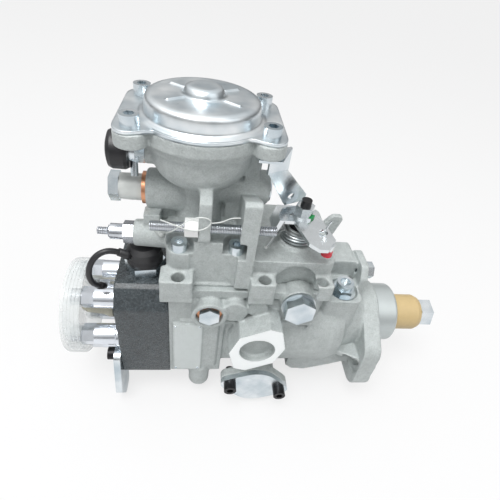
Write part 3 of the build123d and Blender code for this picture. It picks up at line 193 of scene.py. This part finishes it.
def castFinish():
    # bead-blasted aluminium: four noises summed into a tone, brighter and smoother where a tool
    # has faced it, pale on worn edges, and darkened in its inner corners by painted shade
    look = {"light": (0.57, 0.61, 0.605), "dark": (0.33, 0.36, 0.355), "faced": (0.90, 0.93, 0.93),
            "pilot": (0.50, 0.54, 0.54), "edge": (0.78, 0.81, 0.80), "corner": (0.15, 0.165, 0.16),
            "pad": (0.62, 0.665, 0.66), "paint": (0.50, 0.01, 0.03), "grain": 1100, "mottle": 210,
            "patch": 30, "stain": 9, "sideFace": 0.0566, "pilotStart": 0.0004, "padFace": 0.0407,
            "faceGain": 6000.0, "padEnds": (-0.1648, -0.1445), "padHeights": (-0.0293, 0.0273),
            "padSoft": 0.0012, "mark": (-0.1667, -0.0381, 0.0512), "markRadius": 0.0032}
    finish = Finish("castAluminium")
    grain = finish.noise(look["grain"], 4.0, 0.65)
    mottle = finish.noise(look["mottle"], 3.0, 0.6)
    patch = finish.noise(look["patch"], 4.0, 0.6)
    stain = finish.noise(look["stain"], 3.0, 0.6)
    depth = finish.axis("Y") * -1.0
    side = ((depth - look["sideFace"]) * look["faceGain"]).clipped()
    pilot = finish.above("X", look["pilotStart"])
    faced = (side + pilot).clipped()
    pad = ((depth - look["padFace"]) * look["faceGain"]).clipped() * (1.0 - faced)
    for letter, ends in (("X", look["padEnds"]), ("Z", look["padHeights"])):
        pad = pad * finish.above(letter, ends[0], look["padSoft"])
        pad = pad * (1.0 - finish.above(letter, ends[1], look["padSoft"]))
    pad = pad * (0.7 + mottle * 0.5).clipped()
    tone = (patch * 0.5 + stain * 0.4 + mottle * 0.9 - 0.35 + (grain - 0.5) * 1.4).clipped()
    cast = finish.mix(pad, finish.mix(tone, look["dark"], look["light"]), look["pad"])
    cast = finish.mix(finish.edges(0.53, 9.0) * (mottle * 0.6 + 0.3), cast, look["edge"])
    # painted shade: the corner colour darkens the inner corners, where shade falls
    cast = finish.mix(finish.edges(0.47, -8.0) * 0.55, cast, look["corner"])
    cast = finish.mix(finish.near(look["mark"], look["markRadius"]), cast, look["paint"])
    shade = finish.mix(pilot, finish.mix(side, cast, look["faced"]), look["pilot"])
    rough = (grain * 0.2 + mottle * 0.15 + 0.36 - faced * 0.15).clipped()
    finish.set(colour=shade, metallic=faced * 0.25 + 0.35, roughness=rough, specular=0.5)
    height = (grain * 1.5 + mottle * 1.3 + patch * 0.5) * (faced * -0.85 + 1.0)
    return finish.bump(height, 0.55, 0.0009).material


def machinedFinish(name, colour, rough, grain=400):
    # bare or plated metal: a broad noise darkens it in clouds, a fine one varies its polish
    finish = Finish(name)
    marks = finish.noise(grain, 3.0, 0.5)
    cloud = finish.noise(60, 2.0, 0.5)
    dull = tuple(share * channel for share, channel in zip((0.60, 0.66, 0.70), colour))
    finish.set(colour=finish.mix((cloud * 2.4 - 0.7).clipped(), dull, colour), metallic=1.0,
               roughness=(marks * 0.12 + cloud * 0.14 + rough - 0.1).clipped())
    return finish.bump(marks, 0.08, 0.0003).material


def threadedFinish(name, pitch, start=None):
    # zinc-plated steel with a thread's ridges along x, all along or only below a start; its colour
    # has painted shade in the thread's grooves and a painted highlight on its crests
    colour = (0.60, 0.63, 0.67)
    finish = Finish(name)
    ridge = finish.ridges("X", pitch)
    cloud = finish.noise(80, 2.0, 0.5)
    where = 1.0 if start is None else finish.above("X", start) * -1.0 + 1.0
    # painted shade and highlight: darker in the grooves, lighter on the crests of the ridges
    shade = (ridge * 0.8 + 0.2 + cloud * 0.2).clipped()
    if start is not None:
        shade = (shade * where + (cloud * 0.4 + 0.6) * (where * -1.0 + 1.0)).clipped()
    finish.set(colour=finish.mix(shade, scaled(colour, 0.62), scaled(colour, 1.4)), metallic=1.0,
               roughness=(cloud * 0.1 + 0.2).clipped())
    return finish.bump(ridge * where, 0.9, 0.0005).material


def lockNutFinish():
    # zinc plate on the left-hand nut, white nylon on the one that locks the stop rod
    look = {"split": -0.170, "dark": (0.50, 0.52, 0.56), "light": (0.72, 0.75, 0.79),
            "nylon": (0.80, 0.81, 0.80)}
    finish = Finish("lockNuts")
    cloud = finish.noise(200, 3.0, 0.5)
    nylon = finish.above("X", look["split"])
    zinc = finish.mix(cloud, look["dark"], look["light"])
    finish.set(colour=finish.mix(nylon, zinc, look["nylon"]), metallic=nylon * -1.0 + 1.0,
               roughness=(cloud * 0.12 + nylon * 0.2 + 0.2).clipped())
    return finish.bump(cloud, 0.1, 0.0003).material


def paintedFinish(name, centre, radius, paint):
    # zinc plate with one ragged dab of inspection paint, which isn't metal
    zinc = (0.84, 0.88, 0.90)
    finish = Finish(name)
    cloud = finish.noise(120, 3.0, 0.5)
    dab = finish.near(centre, radius)
    shade = finish.mix(dab, finish.mix(cloud, scaled(zinc, 0.78), zinc), paint)
    finish.set(colour=shade, metallic=dab * -1.0 + 1.0,
               roughness=(cloud * 0.16 + 0.22 - 0.06).clipped())
    return finish.bump(cloud, 0.08, 0.0003).material


def ironFinish():
    # the distributor head's black iron: oily, pitted by fine noise, scuffed where it peaks
    look = {"dark": (0.012, 0.015, 0.017), "light": (0.075, 0.095, 0.105),
            "edge": (0.24, 0.27, 0.28), "scuff": (0.30, 0.34, 0.35)}
    finish = Finish("blackIron")
    pits = finish.noise(520, 6.0, 0.75)
    dents = finish.noise(190, 4.0, 0.65)
    cloud = finish.noise(40, 3.0, 0.6)
    scuff = (finish.noise(330, 6.0, 0.8) * 7.0 - 4.3).clipped()
    speckle = (pits * 2.0 + dents * 0.7 + cloud * 0.8 - 1.25).clipped()
    base = finish.mix(speckle, look["dark"], look["light"])
    base = finish.mix(finish.edges(0.54, 8.0) * (dents * 0.8), base, look["edge"])
    finish.set(colour=finish.mix(scuff * 0.7, base, look["scuff"]), metallic=0.3,
               roughness=(pits * 0.4 + 0.06).clipped(), coat=0.45, coatRough=0.16)
    return finish.bump(pits + dents * 1.5 + cloud, 1.0, 0.0011).material


def washerFinish():
    # copper under the inlet bolt and the small plug, plated steel under the large one
    look = {"split": -0.1, "dark": (0.60, 0.27, 0.15), "light": (0.80, 0.42, 0.26),
            "plated": (0.62, 0.66, 0.68)}
    finish = Finish("sealingWashers")
    cloud = finish.noise(150, 3.0, 0.5)
    plated = finish.above("X", look["split"])
    copper = finish.mix(cloud, look["dark"], look["light"])
    finish.set(colour=finish.mix(plated, copper, look["plated"]), metallic=1.0,
               roughness=(cloud * 0.2 + 0.25).clipped())
    return finish.bump(cloud, 0.15, 0.0003).material


def plainFinish(name, colour, rough, depth=0.12, **more):
    # one colour, a seventh darker where a fine noise is low, with the noise as a faint bump
    finish = Finish(name)
    cloud = finish.noise(300, 3.0, 0.5)
    finish.set(colour=finish.mix(cloud, scaled(colour, 0.86), colour),
               roughness=(cloud * 0.12 + rough - 0.06).clipped(), **more)
    return finish.bump(cloud, depth, 0.0004).material


finishes = {
    "cast_aluminium": castFinish(),
    "black_iron": ironFinish(),
    "zinc_plate": machinedFinish("zincPlate", (0.84, 0.88, 0.90), 0.2, 250),
    "bare_steel": machinedFinish("bareSteel", (0.55, 0.56, 0.57), 0.3),
    "black_oxide": plainFinish("blackOxide", (0.02, 0.02, 0.022), 0.35, metallic=0.6),
    "copper_washer": machinedFinish("copperWasher", (0.80, 0.38, 0.20), 0.3),
    "bronze_bush": machinedFinish("bronzeBush", (0.55, 0.38, 0.17), 0.35),
    "tan_plastic": plainFinish("tanPlastic", (0.54, 0.41, 0.21), 0.42, specular=0.4),
    "milky_plastic": plainFinish("milkyPlastic", (0.72, 0.75, 0.73), 0.32, specular=0.5,
                                 alpha=0.88),
    "clear_plastic": plainFinish("clearPlastic", (0.88, 0.92, 0.92), 0.2, depth=0.05, alpha=0.3),
    "cream_plastic": plainFinish("creamPlastic", (0.72, 0.68, 0.55), 0.45),
    "black_plastic": plainFinish("blackPlastic", (0.015, 0.015, 0.017), 0.38),
    "black_rubber": plainFinish("blackRubber", (0.02, 0.02, 0.022), 0.42),
}
ownFinishes = {  # nodes that need more than their slot's finish
    "compensator_cover": machinedFinish("pressedSteel", (0.95, 0.98, 0.99), 0.29, 250),
    "speed_stop_rod": threadedFinish("rodThread", 0.001),
    "full_load_screw": threadedFinish("fullLoadThread", 0.00125),
    "delivery_valve_holders": threadedFinish("outletThread", 0.0015, -0.2325),
    "lock_nuts": lockNutFinish(),
    "sealing_washers": washerFinish(),
    "throttle_shaft": plainFinish("blackStud", (0.02, 0.02, 0.022), 0.3, metallic=0.5),
    "throttle_nut": paintedFinish("markedNut", (-0.0765, -0.0135, 0.1085), 0.0032,
                                  (0.01, 0.22, 0.06)),
    "throttle_lever": paintedFinish("markedLever", (-0.0695, -0.036, 0.0975), 0.005,
                                    (0.55, 0.01, 0.03)),
    "throttle_spring": machinedFinish("springWire", (0.62, 0.63, 0.62), 0.3),
}
slotOf = {entry["node"]: entry["material_slot"] for entry in frame["record"]["subparts"]}
for nodeName, node in frame["nodes"].items():
    node.data.materials.clear()
    node.data.materials.append(ownFinishes.get(nodeName, finishes[slotOf[nodeName]]))
print("finishes made")


def place(name, mesh, finish, body="housing"):
    # a new piece from a finished mesh, attached to the body if one is given
    piece = bpy.data.objects.new(name, mesh)
    bpy.context.collection.objects.link(piece)
    mesh.materials.clear()
    mesh.materials.append(finish)
    if body:
        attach(piece, body)
    return piece


def surface(name, points):
    # a mesh from a grid of points, rows along the surface and columns round it; poles are merged
    rows, columns = points.shape[:2]
    row, column = np.meshgrid(np.arange(rows - 1), np.arange(columns), indexing="ij")
    following = (column + 1) % columns
    corners = np.stack([row * columns + column, row * columns + following,
                        (row + 1) * columns + following, (row + 1) * columns + column], -1)
    mesh = bpy.data.meshes.new(name)
    mesh.from_pydata(points.reshape(-1, 3).tolist(), [], corners.reshape(-1, 4).tolist())
    work = bmesh.new()
    work.from_mesh(mesh)
    bmesh.ops.remove_doubles(work, verts=work.verts, dist=1e-7)
    work.to_mesh(mesh)
    work.free()
    mesh.shade_smooth()
    return mesh


def turned(profile, centre, direction, sides=32):
    # points of a turned form: radius r at distance d along the direction, for each (d, r)
    profile = np.array(profile)
    turn = np.linspace(0, 2 * pi, sides, endpoint=False)
    distance, radius = profile[:, 0][:, None], profile[:, 1][:, None]
    local = np.stack([radius * np.cos(turn), radius * np.sin(turn), distance * np.ones(sides)], -1)
    matrix = np.array(Vector(direction).to_track_quat("Z", "Y").to_matrix())
    return local @ matrix.T + np.array(centre)


castSizes = {"voxel": 0.0008, "smoothing": 0.5, "smoothSteps": 2,
             "pieces": {"pump_housing": ("cast_aluminium", 185000),
                        "governor_cover": ("cast_aluminium", 185000),
                        "distributor_head": ("black_iron", 90000)}}  # most triangles of each


def castShell(nodeName, slotName, most):
    # the casting's own solid, remeshed so that its edges and corners get a foundry's soft radii
    work = bmesh.new()
    work.from_mesh(frame["nodes"][nodeName].data)
    bmesh.ops.remove_doubles(work, verts=work.verts, dist=1e-6)
    merged = bpy.data.meshes.new("merged")
    work.to_mesh(merged)
    work.free()
    draft = bpy.data.objects.new("draft", merged)
    bpy.context.collection.objects.link(draft)
    remesh = draft.modifiers.new("remesh", "REMESH")
    remesh.mode = "VOXEL"
    remesh.voxel_size = castSizes["voxel"]
    smooth = draft.modifiers.new("smooth", "SMOOTH")
    smooth.factor = castSizes["smoothing"]
    smooth.iterations = castSizes["smoothSteps"]
    depsgraph = bpy.context.evaluated_depsgraph_get()
    fine = bpy.data.meshes.new_from_object(draft.evaluated_get(depsgraph))
    draft.modifiers.clear()
    draft.data = fine
    thin = draft.modifiers.new("thin", "DECIMATE")
    thin.ratio = min(1.0, most / (2 * len(fine.polygons)))
    depsgraph = bpy.context.evaluated_depsgraph_get()
    mesh = bpy.data.meshes.new_from_object(draft.evaluated_get(depsgraph))
    bpy.data.objects.remove(draft)
    mesh.name = nodeName + "_casting"
    mesh.shade_smooth()
    piece = place(nodeName + "_casting", mesh, finishes[slotName])
    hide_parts(nodeName)
    print(nodeName, "triangles", len(mesh.polygons))


for nodeName, (slotName, most) in castSizes["pieces"].items():
    castShell(nodeName, slotName, most)
print("castings made")

domeSizes = {"centre": (-0.150, 0.0), "plateLow": 0.162, "plateTop": 0.164, "wall": 0.001,
             "circle": 0.036, "halfLength": 0.045, "halfWidth": 0.0225, "lobes": (0.036, 0.0225),
             "lobeRadius": 0.009, "ribHeight": 0.0009, "ribWidth": 0.0010, "ribFade": 0.0008,
             "ribAngles": (35, 145, 215, 325), "ribEnds": (0.0135, 0.0225),
             "profile": [(0.0, 0.1795), (0.0078, 0.1795), (0.0098, 0.1789), (0.0110, 0.1770),
                         (0.0116, 0.1752), (0.0128, 0.1746), (0.0282, 0.1745), (0.0301, 0.1741),
                         (0.0312, 0.1732), (0.0317, 0.1719), (0.0319, 0.1700), (0.0320, 0.1664),
                         (0.0322, 0.1655), (0.0330, 0.1651), (0.0342, 0.1648), (0.0350, 0.1643),
                         (0.0356, 0.1640)],
             "edge": [(0.0, 0.0), (0.0002, 0.0001), (0.0003, 0.0004), (0.0003, 0.0020)],
             "columns": 480, "samples": 1200, "outlineSoft": 3, "profileSoft": 14, "plateSteps": 14}


def softened(values, width):
    # a running mean of the values under a bell curve, with the ends held
    reach = int(3 * width)
    bell = np.exp(-0.5 * (np.arange(-reach, reach + 1) / width) ** 2)
    padded = np.pad(values, reach, mode="edge")
    return np.convolve(padded, bell / bell.sum(), mode="valid")


def pathSteps(points):
    # the distance along a line of points, from 0 at the first
    return np.concatenate([[0], np.cumsum(np.hypot(*np.diff(points, axis=0).T))])


def domeOutline(along, across):
    # the flange's reach at each angle: the furthest of a circle, a rectangle and four lobes
    sizes = domeSizes
    rectangle = np.minimum(sizes["halfLength"] / np.maximum(abs(along), 1e-9),
                           sizes["halfWidth"] / np.maximum(abs(across), 1e-9))
    outline = np.maximum(sizes["circle"], rectangle)
    lobeX, lobeY = sizes["lobes"]
    reach = abs(along) * lobeX + abs(across) * lobeY
    side = abs(abs(along) * lobeY - abs(across) * lobeX)
    lobe = reach + np.sqrt(np.maximum(sizes["lobeRadius"] ** 2 - side ** 2, 0))
    outline = np.maximum(outline, np.where(side < sizes["lobeRadius"], lobe, 0))
    columns = sizes["columns"]
    return softened(np.tile(outline, 3), sizes["outlineSoft"])[columns:2 * columns]


def makeDome():
    # height is the softened profile by radius plus four pressed ribs; the plate runs on to the
    # outline and turns down its edge, and the inside is the same profile less the wall
    sizes = domeSizes
    columns = sizes["columns"]
    turn = np.linspace(0, 2 * pi, columns, endpoint=False)
    along, across = np.cos(turn), np.sin(turn)
    outline = domeOutline(along, across)
    knots = np.array(sizes["profile"])
    steps = pathSteps(knots)
    fine = np.linspace(0, steps[-1], sizes["samples"])
    radius = softened(np.interp(fine, steps, knots[:, 0]), sizes["profileSoft"])[::8]
    radius[0] = 0
    height = softened(np.interp(fine, steps, knots[:, 1]), sizes["profileSoft"])[::8]
    domeX, domeY = radius[:, None] * along, radius[:, None] * across
    domeZ = height[:, None] * np.ones(columns)
    ribStart, ribEnd = sizes["ribEnds"]
    for angle in np.radians(sizes["ribAngles"]):
        down = domeX * cos(angle) + domeY * sin(angle)
        off = domeY * cos(angle) - domeX * sin(angle)
        beyond = np.maximum(0, abs(down - (ribStart + ribEnd) / 2) - (ribEnd - ribStart) / 2)
        window = np.exp(-(beyond / sizes["ribFade"]) ** 2)
        domeZ += sizes["ribHeight"] * np.exp(-(off / sizes["ribWidth"]) ** 2) * window
    edge = np.array(sizes["edge"])
    share = np.linspace(0, 1, sizes["plateSteps"])[1:, None]
    plate = radius[-1] + (outline - radius[-1]) * share - edge[-1, 0]
    plate = np.concatenate([plate, outline - edge[-1, 0] + edge[:, :1]])
    plateZ = np.concatenate([np.full((len(share), 1), sizes["plateTop"]),
                             sizes["plateTop"] - edge[:, 1:]])
    gridX = np.concatenate([domeX, plate * along]) + sizes["centre"][0]
    gridY = np.concatenate([domeY, plate * across]) + sizes["centre"][1]
    gridZ = np.concatenate([domeZ, plateZ * np.ones(columns)])
    wall = sizes["wall"]
    insideRadius = np.append(np.maximum(radius[::8] - wall, 0), radius[-1] - wall)[:, None]
    insideHeight = np.append(height[::8] - wall, sizes["plateLow"])[:, None] * np.ones(columns)
    inside = np.stack([insideRadius * along + sizes["centre"][0],
                       insideRadius * across + sizes["centre"][1], insideHeight], -1)
    points = np.concatenate([inside, np.stack([gridX, gridY, gridZ], -1)[::-1]])
    piece = place("pressedDome", surface("pressedDome", points), ownFinishes["compensator_cover"])
    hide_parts("compensator_cover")


makeDome()
print("dome made")

boostSizes = {"centre": (-0.150, 0.0), "springStart": 0.1326, "springRise": 0.0195, "turns": 3.9,
              "coil": 0.013, "wire": 0.0011, "springFoot": (-0.150, 0, 0.1315), "keep": 0.81,
              "section": [(0.1560, 0.0101), (0.1560, 0.0240), (0.1580, 0.0255), (0.1626, 0.0276),
                          (0.1638, 0.0276), (0.1638, 0.0245), (0.1572, 0.0225), (0.1572, 0.0101),
                          (0.1560, 0.0101)],
              "held": (-0.150, 0, 0.1624), "carried": (-0.150, 0, 0.1573)}


def makeBoostSpring():
    # a round wire wound on a helix: one angle runs along the turns, the other round the wire
    sizes = boostSizes
    turn = np.linspace(0, 2 * pi * sizes["turns"], 250)[:, None]
    around = -np.linspace(0, 2 * pi, 12, endpoint=False)[None, :]
    thick = np.full_like(turn, sizes["wire"])
    thick[0] = thick[-1] = 0
    reach = sizes["coil"] + thick * np.cos(around)
    height = sizes["springStart"] + sizes["springRise"] * turn / turn[-1] + thick * np.sin(around)
    points = np.stack([sizes["centre"][0] + reach * np.cos(turn),
                       sizes["centre"][1] + reach * np.sin(turn), height], -1)
    slotName = slotOf["boost_spring"]
    piece = place("boostCoil", surface("boostCoil", points), finishes[slotName])
    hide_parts("boost_spring")
    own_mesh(piece)


def makeDiaphragm():
    # a folded ring of rubber: its section is turned round the compensator's axis
    sizes = boostSizes
    corners = np.array(sizes["section"])
    steps = pathSteps(corners)
    fine = np.unique(np.concatenate([np.linspace(0, steps[-1], 56), steps]))
    section = np.stack([np.interp(fine, steps, corners[:, 0]),
                        np.interp(fine, steps, corners[:, 1])], -1)
    points = turned(section, (*sizes["centre"], 0.0), (0, 0, 1), 96)
    slotName = slotOf["diaphragm"]
    piece = place("boostDiaphragm", surface("boostDiaphragm", points), finishes[slotName],
                  None)
    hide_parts("diaphragm")
    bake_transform(piece)


makeBoostSpring()
makeDiaphragm()
print("boost spring and diaphragm made")

leadRoute = [(-0.1964, -0.0175, 0.0720), (-0.2020, -0.0200, 0.0766), (-0.2080, -0.0220, 0.0785),
             (-0.2140, -0.0240, 0.0758), (-0.2182, -0.0260, 0.0695), (-0.2200, -0.0270, 0.0615),
             (-0.2195, -0.0260, 0.0535), (-0.2175, -0.0225, 0.0465), (-0.2160, -0.0180, 0.0415)]
leadSizes = {"diameter": 0.004, "length": 0.0595,
             "terminal": [(-0.004, 0.0), (-0.004, 0.0026), (0.003, 0.0027), (0.0034, 0.0022),
                          (0.0034, 0.0)],
             "sleeve": [(-0.002, 0.0), (-0.002, 0.0034), (0.0015, 0.0034), (0.002, 0.0029),
                        (0.006, 0.0027), (0.0064, 0.0021), (0.0064, 0.0)]}


def splineObject(name, route, radius, finish):
    # a round wire along a smooth curve that has the route's points as its control points
    curve = bpy.data.curves.new(name, "CURVE")
    curve.dimensions = "3D"
    curve.bevel_depth = radius
    curve.bevel_resolution = 4
    curve.use_fill_caps = True
    curve.resolution_u = 12
    spline = curve.splines.new("NURBS")
    spline.points.add(len(route) - 1)
    for point, where in zip(spline.points, route):
        point.co = (*where, 1)
    spline.order_u = 3
    spline.use_endpoint_u = True
    wire = bpy.data.objects.new(name, curve)
    bpy.context.collection.objects.link(wire)
    curve.materials.append(finish)
    return wire


def makeLead():
    # the solenoid's lead on its route, with a profile turned round each end of it
    sizes = leadSizes
    lead = splineObject("lead", leadRoute, sizes["diameter"] / 2, finishes["black_rubber"])
    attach(lead, "housing")
    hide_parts("solenoid_lead")
    end, before = Vector(leadRoute[-1]), Vector(leadRoute[-2])
    tip = surface("leadTerminal", turned(sizes["terminal"], end, end - before, 24))
    terminal = place("leadTerminal", tip, finishes["black_plastic"])
    start, after = Vector(leadRoute[0]), Vector(leadRoute[1])
    cuff = surface("leadSleeve", turned(sizes["sleeve"], start, after - start, 24))
    place("leadSleeve", cuff, finishes["black_rubber"])


makeLead()
print("lead made")

wireRoutes = {
    "springLegFront": [(-0.0925, -0.0125, 0.0965), (-0.0975, -0.0150, 0.0968),
                       (-0.1020, -0.0230, 0.0965), (-0.1078, -0.0320, 0.0960)],
    "springLegRear": [(-0.0930, -0.0060, 0.0900), (-0.1000, -0.0080, 0.0925),
                      (-0.1045, -0.0140, 0.0985), (-0.1050, -0.0180, 0.1010)],
    "leverClip": [(-0.0745, -0.0275, 0.1070), (-0.0735, -0.0290, 0.1082),
                  (-0.0712, -0.0280, 0.1078), (-0.0708, -0.0262, 0.1085),
                  (-0.0685, -0.0260, 0.1145)],
    "sealWire": [(-0.1735, -0.0260, 0.0990), (-0.1672, -0.0340, 0.1047),
                 (-0.1604, -0.0360, 0.1125), (-0.1538, -0.0365, 0.1186),
                 (-0.1466, -0.0362, 0.1199), (-0.1419, -0.0360, 0.1167),
                 (-0.1462, -0.0368, 0.1113), (-0.1547, -0.0370, 0.1100),
                 (-0.1649, -0.0362, 0.1137), (-0.1714, -0.0345, 0.1150)],
    "sealTail": [(-0.1425, -0.0350, 0.1150), (-0.1385, -0.0345, 0.1150),
                 (-0.1350, -0.0340, 0.1163), (-0.1312, -0.0340, 0.1188),
                 (-0.1261, -0.0342, 0.1191)]}
wireKinds = {"springLeg": {"radius": 0.00095, "finish": ownFinishes["throttle_spring"],
                           "slot": "black_oxide", "body": "housing"},
             "leverClip": {"radius": 0.0005, "finish": finishes["zinc_plate"],
                           "slot": "zinc_plate", "body": "throttle"},
             "seal": {"radius": 0.00035, "finish": finishes["milky_plastic"],
                      "slot": "milky_plastic", "body": "housing"}}


def makeWires():
    # the spring's two legs, the lever's wire clip and the seal wire, each along its own route
    for name, route in wireRoutes.items():
        kind = next(sizes for start, sizes in wireKinds.items() if name.startswith(start))
        wire = splineObject(name, route, kind["radius"], kind["finish"])
        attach(wire, kind["body"])


padSizes = {"left": -0.1632, "right": -0.1461, "low": -0.0275, "high": 0.0255, "face": -0.0410,
            "radius": 0.0011, "sunk": 0.0002}


def makePins():
    # four domed pin heads at the corners of the bare front pad: r cos a out, r sin a up, with a
    # from 0 to 90 degrees
    pad = padSizes
    arc = np.linspace(0, pi / 2, 7)
    stand = pad["radius"] * 0.7 * np.sin(arc) - pad["sunk"]
    profile = [(-pad["sunk"], 0.0)] + list(zip(stand, pad["radius"] * np.cos(arc)))
    for column, across in enumerate((pad["left"], pad["right"])):
        for row, height in enumerate((pad["low"], pad["high"])):
            head = turned(profile, (across, pad["face"], height), (0, -1, 0), 20)
            place(f"padPin_{column}_{row}", surface("padPin", head), finishes["zinc_plate"])


dabSizes = {"centre": (-0.1725, -0.0150, 0.0930), "half": (0.0055, 0.0062, 0.0042), "lumps": 0.22,
            "colour": (0.50, 0.53, 0.52)}


def makeSealDab():
    # lumpy putty on the seal wire's root: an egg whose radius swells and dips with both angles
    dab = dabSizes
    down = np.linspace(0, pi, 26)[:, None]
    around = np.linspace(0, 2 * pi, 44, endpoint=False)[None, :]
    waves = np.sin(3 * around + 5 * down) * 0.6 + np.cos(5 * around - 3 * down) * 0.4
    size = 1 + dab["lumps"] * (np.sin(down) * waves)
    halfX, halfY, halfZ = dab["half"]
    points = np.stack([halfX * size * np.sin(down) * np.cos(around),
                       halfY * size * np.sin(down) * np.sin(around),
                       -halfZ * size * np.cos(down) * np.ones_like(around)], -1)
    place("sealDab", surface("sealDab", points + np.array(dab["centre"])),
          plainFinish("sealPutty", dab["colour"], 0.3, alpha=0.8))


webSizes = {"centre": (-0.1680, -0.0010, 0.0995), "half": (0.0085, 0.0045, 0.0080), "power": 0.35}


def makeWeb():
    # the cast web under the inlet boss: a squared-off egg, each half width times the sine or
    # cosine to a low power
    web = webSizes
    down = np.linspace(0, pi, 40)[:, None]
    around = np.linspace(0, 2 * pi, 64, endpoint=False)[None, :]
    sinDown, cosDown, cosAround, sinAround = [
        np.sign(wave) * abs(wave) ** web["power"]
        for wave in (np.sin(down), np.cos(down), np.cos(around), np.sin(around))]
    halfX, halfY, halfZ = web["half"]
    points = np.stack([halfX * sinDown * cosAround, halfY * sinDown * sinAround,
                       -halfZ * cosDown * np.ones_like(around)], -1)
    place("castWeb", surface("castWeb", points + np.array(web["centre"])),
          finishes["cast_aluminium"])


plugSizes = {"centre": (-0.1065, 0.0, 0.120), "radius": 0.0088, "back": -0.001, "stand": 0.0010,
             "cup": 0.0012}


def makePlugDisc():
    # the pressed-in plug of the right-hand boss: a shallow cup, turned round x
    plug = plugSizes
    radius, stand, floor = plug["radius"], plug["stand"], plug["stand"] - plug["cup"]
    profile = [(plug["back"], 0.0), (plug["back"], radius), (stand - 0.0003, radius),
               (stand, radius - 0.0004), (stand, radius - 0.0014), (floor, radius - 0.0024),
               (floor, 0.0)]
    disc = surface("plugDisc", turned(profile, plug["centre"], (1, 0, 0), 48))
    place("plugDisc", disc, finishes["zinc_plate"])


makeWires()
makePins()
makeSealDab()
makeWeb()
makePlugDisc()
print("small pieces made")

stageSizes = {"floorHalf": 6.0, "floorDrop": 0.0005, "floorColour": (0.66, 0.66, 0.665),
              "floorSeen": 0.72, "floorGlossy": 0.32, "skyLow": 0.05, "skyRise": 1.2,
              "skyHigh": 1.1, "skySide": 0.35, "keyPower": 10.0, "fillPower": 1.5}


def makeFloor():
    # a square under the object; what the camera, glass and metal see of it is part white light
    sizes = stageSizes
    low = cadBounds[0][2] - sizes["floorDrop"]
    half = sizes["floorHalf"]
    corners = [(-half, -half, low), (half, -half, low), (half, half, low), (-half, half, low)]
    mesh = bpy.data.meshes.new("floor")
    mesh.from_pydata(corners, [], [(0, 1, 2, 3)])
    floor = bpy.data.objects.new("floor", mesh)
    bpy.context.collection.objects.link(floor)
    paint = Finish("floorPaint")
    paint.set(colour=sizes["floorColour"], roughness=0.9, specular=0.1)
    seen = paint.node("LightPath", {}, {}, "Is Camera Ray") * sizes["floorSeen"]
    glossy = paint.node("LightPath", {}, {}, "Is Glossy Ray") * sizes["floorGlossy"]
    through = paint.node("LightPath", {}, {}, "Is Transmission Ray") * sizes["floorSeen"]
    glow = paint.node("Emission", {}, {"Color": (1, 1, 1, 1), "Strength": 1.0})
    matt = Wire(paint.tree, paint.shader.outputs[0])
    blend = paint.node("MixShader", {}, {0: (seen + glossy + through).clipped(), 1: matt, 2: glow})
    paint.feed(paint.tree.nodes["Material Output"].inputs[0], blend)
    floor.data.materials.append(paint.material)


def makeSky():
    # white to the camera; to the rest, light that rises with height and falls towards +x
    sizes = stageSizes
    world = bpy.data.worlds.new("studio")
    bpy.context.scene.world = world
    world.use_nodes = True
    graph = Graph(world.node_tree)
    direction = graph.node("TexCoord", {}, {}, "Generated")
    side = graph.node("SeparateXYZ", {}, {0: direction}, 0)
    height = graph.node("SeparateXYZ", {}, {0: direction}, 2)
    sky = (height * sizes["skyRise"] + sizes["skyLow"]).maths("MAXIMUM", sizes["skyLow"])
    sky = sky.maths("MINIMUM", sizes["skyHigh"]) * (1.0 - side * sizes["skySide"])
    seen = graph.node("LightPath", {}, {}, "Is Camera Ray")
    back = world.node_tree.nodes["Background"]
    graph.feed(back.inputs["Color"], (1, 1, 1, 1))
    graph.feed(back.inputs["Strength"], seen + sky * (1.0 - seen))


def areaLight(name, where, aim, size, power):
    # a square lamp whose -z axis points from where it is to its aim
    lamp = bpy.data.lights.new(name, "AREA")
    lamp.size = size
    lamp.energy = power
    holder = bpy.data.objects.new(name, lamp)
    bpy.context.collection.objects.link(holder)
    holder.location = where
    holder.rotation_euler = (Vector(aim) - Vector(where)).to_track_quat("-Z", "Y").to_euler()


def makeCamera():
    # the photograph's view, worked out from known points on the pump
    view = {"where": (-0.1493, -0.2060, 0.2448), "yaw": 0.181, "pitch": 0.708, "roll": 0.164,
            "focal": 371.85, "pixels": 500, "sensor": 36}
    yaw, pitch, roll = view["yaw"], view["pitch"], view["roll"]
    forward = Vector((sin(yaw) * cos(pitch), cos(yaw) * cos(pitch), -sin(pitch)))
    level = Vector((cos(yaw), -sin(yaw), 0))
    upward = level.cross(forward)
    right = cos(roll) * level + sin(roll) * upward
    top = -sin(roll) * level + cos(roll) * upward
    camera = bpy.data.cameras.new("camera")
    camera.sensor_width = view["sensor"]
    camera.lens = view["focal"] / view["pixels"] * view["sensor"]
    camera.clip_start = 0.01
    holder = bpy.data.objects.new("camera", camera)
    bpy.context.collection.objects.link(holder)
    facing = Matrix((right, top, -forward)).transposed().to_4x4()
    holder.matrix_world = Matrix.Translation(view["where"]) @ facing
    bpy.context.scene.camera = holder


makeFloor()
makeSky()
areaLight("key", (-0.35, -0.35, 1.05), (-0.1, 0, 0.05), 0.6, stageSizes["keyPower"])
areaLight("fill", (0.6, -0.5, 0.7), (-0.1, 0, 0.05), 0.8, stageSizes["fillPower"])
makeCamera()
bpy.context.scene.view_settings.view_transform = "Standard"
print("stage set")
